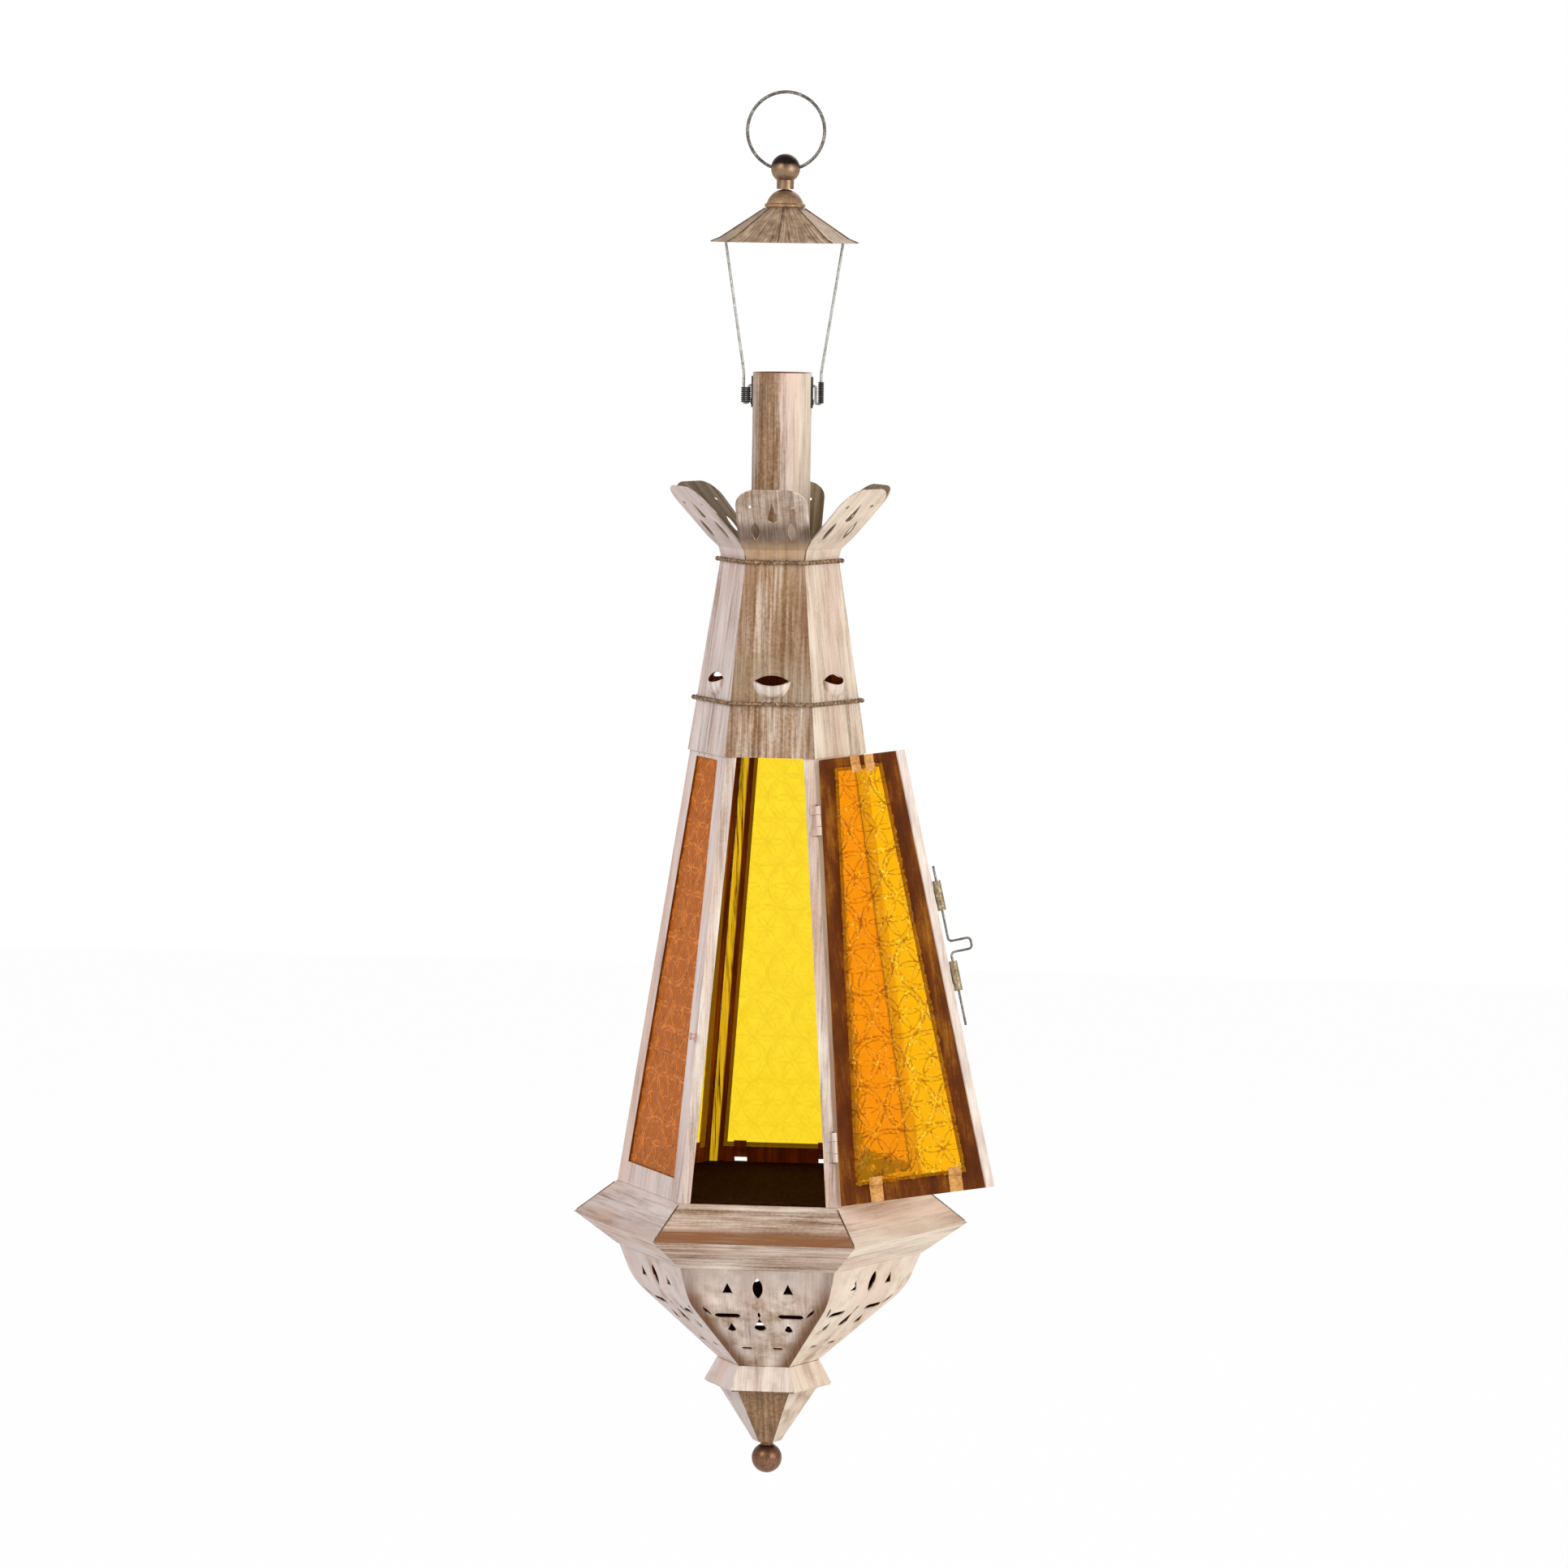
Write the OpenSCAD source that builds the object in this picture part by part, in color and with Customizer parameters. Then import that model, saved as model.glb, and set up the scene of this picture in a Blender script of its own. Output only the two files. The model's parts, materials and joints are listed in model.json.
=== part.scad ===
// Hanging hexagonal lantern with amber glass, a pierced bowl, a hinged door and a sliding latch.
// +Z is up and the door side faces -Y. The origin is where a hook bears on the hanging ring.

/* [Hanging ring and ball] */
// Outside diameter of the hanging ring
ring_d = 34.6; // [28:0.2:42]
// Thickness of the ring's wire
ring_wire = 1.4; // [1:0.1:1.8]
// Free play all round the ring's wire in the hole of the ball
ring_play = 0.19; // [0.1:0.01:0.3]
// Diameter of the top ball
ball_d = 12.5; // [10:0.1:15]
// Width of the neck under the ball
neck_d = 7.4; // [5:0.1:9]
// Visible height of the neck
neck_h = 2.6; // [1:0.1:4]
// Diameter of the threaded shank that holds ball, dome, cap and bail together
shank_d = 3; // [2:0.1:4]
// Width of the spun dome
dome_d = 15.6; // [12:0.1:20]
// Height of the spun dome
dome_h = 6; // [4:0.1:7]
// Width of the dome's rolled rim
rim_d = 17.5; // [14:0.1:22]
// Height of the dome's rolled rim
rim_h = 2.1; // [1:0.1:3]

/* [Rain cap] */
// Corner radius of the cap's flat top
cap_top_r = 8.4; // [7:0.1:12]
// Corner radius where the roof meets the flared brim
cap_eave_r = 28; // [22:0.5:36]
// Height of the roof from eave to top
cap_roof_h = 13; // [9:0.1:20]
// Corner radius of the brim's edge
cap_edge_r = 32.2; // [30:0.1:40]
// Drop of the flared brim
cap_edge_h = 1.8; // [1:0.1:4]

/* [Bail] */
// Thickness of the bail's wire
bail_wire = 1.2; // [1:0.1:1.5]
// Inner bend radius plus half a wire, at every bend of the bail
bail_bend = 1; // [0.9:0.05:1.4]
// Distance of the bail's upper bends from the middle
bail_top_x = 25.6; // [22:0.1:27]
// Distance of the bail's arm from the middle, just above the ear
bail_low_x = 16.4; // [16.2:0.1:20]
// Straight height of the hook that hangs below the ear's hole
bail_hook_h = 7.6; // [5:0.1:10]
// Length of the hook's end inside the chimney
bail_end_h = 2.4; // [2.1:0.1:4]

/* [Chimney and ears] */
// Outside diameter of the chimney tube
chimney_d = 25.4; // [20:0.2:30]
// Wall of the chimney tube
chimney_wall = 0.5; // [0.4:0.1:1]
// Height of the chimney above the deck
chimney_h = 79.6; // [60:0.5:110]
// Gap from the cap's edge down to the chimney's top
chimney_gap = 55.6; // [40:0.5:80]
// Depth of the ear's hole below the chimney's top
ear_hole_drop = 5.7; // [4:0.1:8]
// Height of the ear's strap
ear_h = 13.4; // [11:0.1:18]
// Width of the ear's strap
ear_w = 4.2; // [3.5:0.1:7]
// Thickness of the ear's strap
ear_t = 0.6; // [0.4:0.1:0.9]
// Running play round the bail's end in the ear's hole
ear_play = 0.08; // [0.04:0.01:0.1]

/* [Petal crown] */
// Height of the upright foot of each petal
petal_foot_h = 4.4; // [3:0.1:7]
// Lean of the petal's upright foot, in degrees
petal_foot_lean = 14; // [5:1:25]
// Length of the flared tongue of each petal
petal_l = 35; // [28:0.5:44]
// Lean of the flared tongue, in degrees
petal_lean = 47; // [35:1:55]
// Greatest width of a petal
petal_w = 31; // [28:0.5:34]

/* [Hood] */
// Corner radius of the hood's top
hood_top_r = 25.7; // [24:0.1:30]
// Height of the hood
hood_h = 83.6; // [74:0.5:110]
// How far the hood's lower edge stands out over the corners of the glazed part
hood_proud = 0.9; // [0.8:0.1:2]
// Width of the vents
vent_w = 16; // [12:0.5:20]
// How far a vent's lip stands out
vent_out = 3.4; // [2:0.1:4]
// Rise of the arched upper edge of a vent's slit
vent_gap = 2.4; // [1:0.1:4]
// Dip of the middle of the lip's rim below the ends of the slit
vent_dip = 3; // [1:0.1:5]
// Height of the lower bead band above the hood's lower edge
band_up = 22.9; // [18:0.1:24]
// Diameter of the beads
bead_d = 2.1; // [1.6:0.1:2.4]
// Distance between beads
bead_pitch = 2.5; // [2.2:0.1:3.5]

/* [Glazed part] */
// Corner radius at the top of the glass
glass_top_r = 38; // [34:0.5:44]
// Corner radius at the foot of the glass
glass_foot_r = 67.5; // [60:0.5:72]
// Height of the glazed part
glass_h = 190; // [150:1:230]
// Thickness of the sheet metal
sheet = 0.6; // [0.5:0.05:0.7]
// Width of the upright stiles of the fixed panels
stile_w = 8.2; // [7:0.1:10]
// Height of the bottom rail of the fixed panels
rail_h = 9.7; // [8:0.1:12]
// Height of the panels' top rail, hidden behind the hood
lap_h = 5; // [3:0.1:7]
// Width of the post strips beside the door opening
post_w = 4.6; // [3.6:0.1:5.4]
// Thickness of the glass
pane_t = 2; // [1.6:0.1:2.5]
// How far a pane laps over the edge of its window
pane_lap = 1.4; // [1:0.1:2]
// Width of the bent tabs that hold a pane
tab_w = 5.6; // [4:0.1:7]
// Width of the two tabs at the top of the door
top_tab_w = 4; // [3:0.1:4.6]
// Thickness of the bent tabs
tab_t = 0.5; // [0.3:0.05:0.6]

/* [Door] */
// Angle at which the door stands open, in degrees
door_open = 190; // [150:1:200]
// Width of the door's hinge stile
door_hinge_stile = 8.8; // [7:0.1:11]
// Width of the door's free stile with its hem
door_free_stile = 12.6; // [11:0.1:15]
// Height of the door's bottom rail
door_rail_h = 9.3; // [8:0.1:12]
// Height of the door's top rail
door_head_h = 5.8; // [5:0.1:8]
// Width of the folded hem of the free stile
hem_w = 3.4; // [2.5:0.1:4]
// Gap between the door's ends and the hood and brim
door_gap = 0.8; // [0.5:0.1:1.5]
// Outside diameter of the hinge knuckles
knuckle_d = 2.4; // [2:0.1:2.5]
// Diameter of the hinge pins
hinge_pin_d = 1.2; // [1:0.1:1.3]
// Running play round the hinge pins
hinge_play = 0.06; // [0.03:0.01:0.1]
// Length of the door's knuckle
door_knuckle_l = 5; // [3:0.1:8]
// Length of each of the post's knuckles
post_knuckle_l = 3.6; // [2:0.1:6]
// Distance of each hinge from the end of the door
hinge_in = 26; // [18:0.5:50]

/* [Latch] */
// Outside diameter of the two guide tubes
guide_d = 3.6; // [3:0.1:3.8]
// Length of each guide tube
guide_l = 12.9; // [8:0.1:15]
// Distance of the lower guide tube from the foot
guide_low_s = 86; // [84:0.5:95]
// Distance of the upper guide tube from the foot
guide_high_s = 121; // [118:0.5:130]
// Thickness of the bolt's wire
bolt_wire = 1; // [0.8:0.1:1.2]
// Running play round the bolt in its guides
bolt_play = 0.1; // [0.05:0.01:0.1]
// Distance of the bolt's lower end from the foot
bolt_low_s = 70.9; // [68:0.1:71.5]
// Distance of the bolt's upper end from the foot
bolt_high_s = 140.4; // [138:0.1:150]
// How far the bolt's handle stands out
handle_out = 9.4; // [6:0.1:12]
// Distance between the two legs of the handle
handle_w = 4.8; // [4:0.1:6]
// Bend radius of the bolt
bolt_bend = 1.6; // [1.2:0.1:1.9]
// Outside diameter of the keeper's eye
keeper_d = 2.6; // [2.4:0.1:3]
// Length of the keeper's eye
keeper_l = 3; // [2:0.1:4]

/* [Brim and bowl] */
// Corner radius of the brim
brim_r = 86.3; // [76:0.5:98]
// Drop of the brim
brim_h = 14.2; // [9:0.1:18]
// Width of the flat ledge inside the brim and inside the fascia
ledge_w = 8; // [6:0.1:12]
// Corner radius of the lower edge of the fascia
fascia_r = 66.9; // [60:0.1:72]
// Height of the fascia
fascia_h = 13.8; // [8:0.1:15]
// Corner radius of the bowl at its shoulder
shoulder_r = 60; // [54:0.5:63]
// Drop from the bowl's upper edge to its shoulder
shoulder_h = 15.6; // [12:0.1:20]
// Corner radius of the bowl at its foot
bowl_foot_r = 22; // [18:0.1:28]
// Height of the bowl
bowl_h = 49; // [40:0.5:60]
// Bend radius of the bowl's shoulder
bowl_bend = 28; // [15:1:34]
// Width of the centre oval of each gore
oval_w = 4.4; // [3:0.1:6]
// Height of the centre oval of each gore
oval_h = 10.4; // [8:0.1:12]
// Width of the triangles beside the oval
triangle_w = 4.6; // [3:0.1:7]
// Height of the triangles beside the oval
triangle_h = 5.2; // [4:0.1:8]
// Width of the long slots of each gore
slot_w = 11; // [8:0.1:13]
// Height of the long slots of each gore
slot_h = 3.6; // [2:0.1:5]
// Width of the drops of each gore
drop_w = 5; // [3:0.1:6]
// Height of the drops of each gore
drop_h = 9.6; // [7:0.1:12]

/* [Collar, cone and finial] */
// Corner radius of the collar's edge
collar_r = 28; // [25:0.1:34]
// Height of the collar
collar_h = 10; // [6:0.1:14]
// Corner radius of the cone's top
cone_r = 22.7; // [18:0.1:24]
// Corner radius of the cone's foot
cone_foot_r = 6.2; // [5:0.1:9]
// Height of the cone
cone_h = 25.6; // [20:0.5:36]
// Diameter of the finial ball
finial_d = 13.2; // [10:0.1:16]
// Width of the finial's neck
finial_neck_d = 5.6; // [4:0.1:7]
// Height of the finial's neck
finial_neck_h = 1.2; // [0.8:0.1:3]
// Height of the nuts on the shank and on the finial's screw
nut_h = 2.2; // [1.6:0.1:3]
// Width of the nuts across their corners
nut_d = 5.6; // [5.2:0.1:8]

/* [Hidden] */

// Overrun of every cut past the face that it leaves
over = 1;
// Gap left between faces that are soldered or screwed together
seat_gap = 0.04;
// Groove at the corners where two sheets meet
seam = 0.05;
// The body is a hexagon, and the rain cap an octagon
side_turn = 60;
corner_turn = side_turn / 2;
cap_sides = 8;
// Roundness of wires, tubes and balls
$fn = 40;

function flat_r(corner_r) = corner_r * cos(corner_turn);
function corner_of(flat) = flat / cos(corner_turn);
function unit(v) = v / norm(v);
function heading(v) = atan2(v[1], v[0]);
function turned(a) = [cos(a), sin(a)];

// Heights of the main joints, worked out from the top down
ring_mean_r = (ring_d - ring_wire) / 2;
ring_z = ring_wire / 2 - ring_mean_r;
ring_sag = ring_mean_r - sqrt(pow(ring_mean_r, 2) - pow(ball_d / 2, 2));
ball_bore_d = ring_wire + ring_sag + 2 * ring_play;
ball_z = ring_z - ring_mean_r + ring_sag / 2;
dome_base_z = ball_z - ball_d / 2 - neck_h - dome_h;
cap_z = dome_base_z - rim_h - seat_gap;
cap_edge_z = cap_z - cap_roof_h - cap_edge_h;
cap_slope = atan(cap_roof_h / (cap_eave_r - cap_top_r));
cap_drop = sheet / cos(cap_slope);
chimney_z = cap_edge_z - chimney_gap;
ear_z = chimney_z - ear_hole_drop;
deck_z = chimney_z - chimney_h;
hood_z = deck_z - sheet - seat_gap;
glass_z = hood_z - hood_h;
foot_z = glass_z - glass_h;
brim_edge_z = foot_z - brim_h;
fascia_z = brim_edge_z - fascia_h;
bowl_z = fascia_z - seat_gap;
collar_z = bowl_z - bowl_h - seat_gap;
cone_z = collar_z - collar_h - seat_gap;
cone_foot_z = cone_z - sheet - cone_h;
finial_z = cone_foot_z - seat_gap - finial_neck_h - finial_d / 2;

// Slopes of the flat sides
hood_foot_r = glass_top_r + hood_proud;
hood_lean = -atan((flat_r(hood_foot_r) - flat_r(hood_top_r)) / hood_h);
glass_lean = -atan((flat_r(glass_foot_r) - flat_r(glass_top_r)) / glass_h);
glass_l = glass_h / cos(glass_lean);
// Lean of the corner posts within their own side
post_lean = atan((glass_foot_r - glass_top_r) / 2 / glass_l);

// Half the width of a glazed side, at a distance up the slope
function half_w(s) = (glass_foot_r - (glass_foot_r - glass_top_r) * s / glass_l) / 2;

// Places across the thickness of a side, measured outwards from its outer face
pane_out = -sheet - seat_gap;
pane_in = pane_out - pane_t;
tab_out = pane_in - seat_gap;
door_in = sheet + seat_gap + sheet / 2;
door_out = door_in + sheet;
door_pane_out = door_in - seat_gap;
door_pane_in = door_pane_out - pane_t;
// Axis of the hinges, clear of both sides that meet at the corner
hinge_clear = knuckle_d / 2 + 0.25 * sheet;
hinge_y = door_out;
hinge_x = (hinge_clear - hinge_y / 2) / cos(corner_turn);
door_edge_in = knuckle_d / 2 + sheet / 3 - hinge_x;
free_edge_in = 0.6 * sheet;
// Axis of the bolt, just outside the door's free edge and the left post
bolt_x = guide_d / 2 - sheet / 6;
bolt_y = (door_in + door_out) / 2 + sheet / 20;

// Local frame on a slope of side k: X along the side, Y up the slope, Z outwards
module on_slope(k, flat, z, lean) {
    rotate([0, 0, side_turn * k])
        translate([0, -flat, z])
            rotate([90 + lean, 0, 0])
                children();
}

// Local frame of the glazed side k, from its foot
module on_glass(k) {
    on_slope(k, flat_r(glass_foot_r), foot_z, glass_lean) children();
}

// Frame of the closed door, swung to the angle at which the door stands
module on_door(angle) {
    on_glass(0)
        translate([half_w(0) + hinge_x, 0, hinge_y])
            rotate([0, 0, post_lean])
                rotate([0, angle, 0])
                    rotate([0, 0, -post_lean])
                        translate([-half_w(0) - hinge_x, 0, -hinge_y])
                            children();
}

// Line of the hinges, with Z up along it
module on_hinge() {
    translate([half_w(0) + hinge_x, 0, hinge_y])
        rotate([0, 0, post_lean])
            rotate([-90, 0, 0])
                children();
}

// Line of the bolt, with X pointing away from the door and Y up along it
module on_bolt() {
    translate([-half_w(0) - bolt_x, 0, bolt_y])
        rotate([0, 0, -post_lean])
            children();
}

// Strip of a glazed side between two distances from the middle and two heights
module side_strip(left_in, right_in, low, high, thick) {
    linear_extrude(thick)
        polygon([
            [-half_w(low) + left_in, low],
            [half_w(low) - right_in, low],
            [half_w(high) - right_in, high],
            [-half_w(high) + left_in, high]
        ]);
}

// Bent wire through points of the X-Z plane
module bent_wire(points, bend, wire) {
    last = len(points) - 1;
    rotate([90, 0, 0]) {
        for (i = [0 : last - 1]) {
            run = unit(points[i + 1] - points[i]);
            start = points[i] + run * (i == 0 ? 0 : bend_cut(points, i, bend));
            end = points[i + 1] - run * (i == last - 1 ? 0 : bend_cut(points, i + 1, bend));
            wire_run(start, end, wire);
        }
        for (i = [1 : last - 1]) wire_bend(points, i, bend, wire);
    }
}

module wire_run(start, end, wire) {
    translate(start)
        rotate([0, 90, heading(end - start)])
            cylinder(h = norm(end - start), d = wire);
}

function turn_at(points, i) =
    let (a = unit(points[i] - points[i - 1]), b = unit(points[i + 1] - points[i]))
        atan2(a[0] * b[1] - a[1] * b[0], a[0] * b[0] + a[1] * b[1]);
function bend_cut(points, i, bend) = bend * tan(abs(turn_at(points, i)) / 2);

module wire_bend(points, i, bend, wire) {
    a = unit(points[i] - points[i - 1]);
    turn = turn_at(points, i);
    side = sign(turn);
    centre = points[i] - a * bend_cut(points, i, bend) + side * bend * [-a[1], a[0]];
    first = heading(a) - side * 90;
    translate(centre)
        rotate([0, 0, min(first, first + turn)])
            rotate_extrude(angle = abs(turn))
                translate([bend, 0])
                    circle(d = wire);
}

// Solid with flat sides, from its lower to its upper corner radius
module facet_block(low_r, top_r, h, sides = 6) {
    cylinder(h = h, r1 = low_r, r2 = top_r, $fn = sides);
}

// Pointed oval
module leaf(w, h) {
    r = (pow(w, 2) + pow(h, 2)) / (4 * w);
    intersection() {
        translate([r - w / 2, 0]) circle(r);
        translate([w / 2 - r, 0]) circle(r);
    }
}

// Drop that points up, with its round end at the origin
module drop(w, h) {
    circle(d = w);
    polygon([[-w / 2 * cos(20), w / 2 * sin(20)], [w / 2 * cos(20), w / 2 * sin(20)], [0, h - w / 2]]);
}

// Triangle that points up, centred on its middle height
module triangle(w, h) {
    polygon([[-w / 2, -h / 2], [w / 2, -h / 2], [0, h / 2]]);
}

// Slot with round ends
module slot(w, h) {
    square([w - h, h], center = true);
    for (side = [-1, 1]) translate([side * (w - h) / 2, 0]) circle(d = h);
}

// Through cut of a flat shape, from both sides of a sheet
module punch() {
    translate([0, 0, -over - bowl_bend / 4])
        linear_extrude(2 * over + bowl_bend / 4)
            children();
}

module hanging_ring() {
    color("#6f6a62")
        translate([0, 0, ring_z])
            rotate([90, 0, 0])
                rotate_extrude()
                    translate([ring_mean_r, 0])
                        circle(d = ring_wire);
}

// Ball, neck and threaded shank, turned in one piece and bored across for the ring
top_shank_l = cap_drop + 2 * bail_wire + nut_h + shank_d / 2;
module top_ball() {
    color("#8f6a45")
        difference() {
            union() {
                translate([0, 0, ball_z]) sphere(d = ball_d);
                translate([0, 0, dome_base_z + dome_h]) cylinder(h = neck_h + neck_d / 5, d = neck_d);
                translate([0, 0, cap_z - top_shank_l])
                    cylinder(h = ball_z - ball_d / 2 - cap_z + top_shank_l, d = shank_d);
            }
            translate([0, 0, ball_z])
                rotate([0, 90, 0])
                    cylinder(h = ball_d + 2 * over, d = ball_bore_d, center = true);
        }
}

// Spun dome with a rolled rim
module cap_dome() {
    cap_ball_r = (pow(dome_d / 2, 2) + pow(dome_h, 2)) / (2 * dome_h);
    color("#94714f")
        translate([0, 0, dome_base_z])
            difference() {
                union() {
                    intersection() {
                        translate([0, 0, dome_h - cap_ball_r - seat_gap]) sphere(r = cap_ball_r);
                        cylinder(h = dome_h, d = dome_d + over);
                    }
                    translate([0, 0, -rim_h])
                        rotate_extrude() {
                            square([rim_d / 2 - rim_h / 2, rim_h]);
                            translate([rim_d / 2 - rim_h / 2, rim_h / 2]) circle(d = rim_h);
                        }
                }
                translate([0, 0, -rim_h - over])
                    cylinder(h = dome_h + rim_h + 2 * over, d = shank_d + 2 * seat_gap);
            }
}

// Folded eight-sided rain cap with a flared brim
module rain_cap_form() {
    facet_block(cap_edge_r, cap_eave_r, cap_edge_h, cap_sides);
    translate([0, 0, cap_edge_h]) facet_block(cap_eave_r, cap_top_r, cap_roof_h, cap_sides);
}
module rain_cap() {
    color("#9a7b58")
        translate([0, 0, cap_edge_z])
            difference() {
                rain_cap_form();
                translate([0, 0, -cap_drop]) rain_cap_form();
                cylinder(h = cap_edge_h + cap_roof_h + over, d = shank_d + 2 * seat_gap);
            }
}

// Share by which a wire swells where it is bent sharply
elbow_share = 1.05;
// Wire bail: an eye round the shank, two arms under the cap, and a hook through each ear
bail_eye_z = cap_z - cap_drop - seat_gap - bail_wire / 2;
bail_eye_r = (shank_d + bail_wire) / 2 + seat_gap;
// The nut clears the arms, which slope down past its corners
nut_top_z = bail_eye_z - bail_wire / 2 / cos(cap_slope) - (nut_d / 2 - bail_eye_r) * tan(cap_slope) - seat_gap;
ear_out_x = chimney_d / 2 + seat_gap + ear_t;
hook_x = ear_out_x + seat_gap + 1.2 * bail_bend;
arm_x = max(bail_low_x, hook_x + 2.2 * bail_bend);
module bail_arm() {
    corner_z = bail_eye_z - (bail_top_x - bail_eye_r) * tan(cap_slope) - bail_wire / 2;
    end_x = chimney_d / 2 - chimney_wall - 2 * bail_bend;
    bent_wire([
        [end_x, ear_z - bail_end_h],
        [end_x, ear_z],
        [hook_x, ear_z],
        [hook_x, ear_z - bail_hook_h],
        [arm_x, ear_z - bail_hook_h],
        [arm_x, chimney_z]
    ], bail_bend, bail_wire);
    rotate([90, 0, 0]) {
        wire_run([bail_eye_r, bail_eye_z], [bail_top_x, corner_z], bail_wire);
        wire_run([bail_top_x, corner_z], [arm_x, chimney_z], bail_wire);
        translate([bail_top_x, corner_z]) sphere(d = elbow_share * bail_wire);
        translate([arm_x, chimney_z]) sphere(d = elbow_share * bail_wire);
    }
}
module bail() {
    color("#5a534b") {
        bail_arm();
        mirror([1, 0, 0]) bail_arm();
        translate([0, 0, bail_eye_z])
            rotate_extrude()
                translate([bail_eye_r, 0])
                    circle(d = bail_wire);
    }
}

module hex_nut(bore_d) {
    difference() {
        cylinder(h = nut_h, d = nut_d, $fn = 6);
        translate([0, 0, -over]) cylinder(h = nut_h + 2 * over, d = bore_d);
    }
}
module shank_nut() {
    color("#5a534b")
        translate([0, 0, nut_top_z - nut_h])
            hex_nut(shank_d + 2 * seat_gap);
}

module ear_hole() {
    translate([0, 0, ear_z])
        rotate([0, 90, 0])
            cylinder(h = chimney_d + 4 * over, d = bail_wire + 2 * ear_play, center = true);
}

// Chimney tube, bored across for the bail
module chimney() {
    below = sheet + over;
    color("#c9b09c")
        difference() {
            translate([0, 0, deck_z - below]) cylinder(h = chimney_h + below, d = chimney_d);
            translate([0, 0, deck_z - below - over])
                cylinder(h = chimney_h + below + 2 * over, d = chimney_d - 2 * chimney_wall);
            ear_hole();
        }
}

// Curved strap soldered on the chimney, with a rivet head at its foot
module ear_right() {
    low_z = ear_z + ear_hole_drop * 0.7 - ear_h;
    rivet_d = 0.6 * ear_w;
    color("#3a332d")
        difference() {
            union() {
                intersection() {
                    translate([0, 0, low_z]) cylinder(h = ear_h, d = 2 * ear_out_x);
                    translate([0, -ear_w / 2, low_z]) cube([chimney_d, ear_w, ear_h]);
                }
                translate([ear_out_x - ear_t / 2, 0, low_z + rivet_d])
                    rotate([0, 90, 0])
                        cylinder(h = ear_t, d = rivet_d);
            }
            translate([0, 0, low_z - over]) cylinder(h = ear_h + 2 * over, d = chimney_d + 2 * seat_gap);
            ear_hole();
        }
}
module ear_left() {
    mirror([1, 0, 0]) ear_right();
}

// One petal of the crown: an upright foot and a flared, round-ended, pierced tongue
petal_flat = flat_r(hood_top_r);
petal_bend_flat = petal_flat + petal_foot_h * sin(petal_foot_lean);
petal_bend_z = deck_z + petal_foot_h * cos(petal_foot_lean);
// Width of the crown's hexagon at the bend, less the seam
petal_bend_w = 2 * petal_bend_flat * tan(corner_turn) - 2 * sheet * tan(corner_turn) - 2 * seam;
petal_spread = petal_w / 2 - petal_bend_w / 2;
petal_spread_l = petal_spread / (sin(petal_lean) * tan(corner_turn));
petal_eye_d = 2.1;
petal_slot_w = 2.6;
module petal_piercings() {
    round_s = petal_l - petal_w / 2;
    translate([0, round_s - petal_eye_d]) drop(1.7 * petal_slot_w, petal_l / 3);
    for (side = [-1, 1]) {
        translate([side * petal_w / 3.4, round_s + petal_eye_d]) circle(d = petal_eye_d);
        translate([side * petal_w / 4, petal_l / 3.6]) leaf(1.3 * petal_slot_w, petal_l / 3.2);
    }
}
module petal(k) {
    foot_w = 2 * petal_flat * tan(corner_turn) - 2 * sheet * tan(corner_turn) - 2 * seam;
    round_s = petal_l - petal_w / 2;
    color("#c4ad9c") {
        on_slope(k, petal_flat, deck_z + seat_gap, petal_foot_lean)
            translate([0, 0, -sheet])
                linear_extrude(sheet)
                    polygon([
                        [-foot_w / 2, 0],
                        [foot_w / 2, 0],
                        [petal_bend_w / 2, petal_foot_h],
                        [-petal_bend_w / 2, petal_foot_h]
                    ]);
        on_slope(k, petal_bend_flat, petal_bend_z, petal_lean)
            translate([0, 0, -sheet])
                linear_extrude(sheet)
                    difference() {
                        union() {
                            polygon([
                                [-petal_bend_w / 2, -sheet / 2],
                                [petal_bend_w / 2, -sheet / 2],
                                [petal_w / 2, petal_spread_l],
                                [petal_w / 2, round_s],
                                [-petal_w / 2, round_s],
                                [-petal_w / 2, petal_spread_l]
                            ]);
                            translate([0, round_s]) circle(d = petal_w);
                        }
                        petal_piercings();
                    }
    }
}

module top_deck() {
    color("#b59f8c")
        translate([0, 0, deck_z - sheet])
            difference() {
                facet_block(hood_top_r, hood_top_r, sheet);
                translate([0, 0, -over]) cylinder(h = sheet + 2 * over, d = chimney_d + 2 * seat_gap);
            }
}

// Six runs of beaded wire, with a bead at each corner
module bead_band(corner_r, z) {
    count = floor(corner_r / bead_pitch);
    pitch = corner_r / count;
    translate([0, 0, z])
        for (k = [0 : 5])
            rotate([0, 0, side_turn * k]) {
                translate([corner_r, 0, 0]) sphere(d = bead_d);
                translate([corner_r, 0, 0])
                    rotate([0, -90, -side_turn])
                        rotate_extrude()
                            intersection() {
                                union() {
                                    translate([-bead_d / 4, 0]) square([bead_d / 2, corner_r]);
                                    for (i = [1 : count - 1]) translate([0, i * pitch]) circle(d = bead_d);
                                }
                                translate([0, -bead_d]) square([bead_d, corner_r + 2 * bead_d]);
                            }
            }
}
module upper_bead_band() {
    color("#8a6a48") bead_band(corner_of(petal_flat + bead_d / 2 + 2 * seat_gap), deck_z - bead_d / 2);
}
module lower_bead_band() {
    share = band_up / hood_h;
    hood_r = hood_foot_r + (hood_top_r - hood_foot_r) * share;
    color("#8a6a48") bead_band(hood_r + corner_of(bead_d / 2 + 2 * seat_gap), glass_z + band_up);
}

// Tapered hood with a pressed vent in each side
vent_ball_r = (pow(vent_w / 2, 2) + pow(vent_out, 2)) / (2 * vent_out);
vent_s = band_up + bead_d + vent_w / 2;
module on_hood(k) {
    on_slope(k, flat_r(hood_foot_r), glass_z, hood_lean) children();
}
module vent_ball(r) {
    translate([0, vent_s, vent_out - vent_ball_r]) sphere(r);
}
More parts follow.
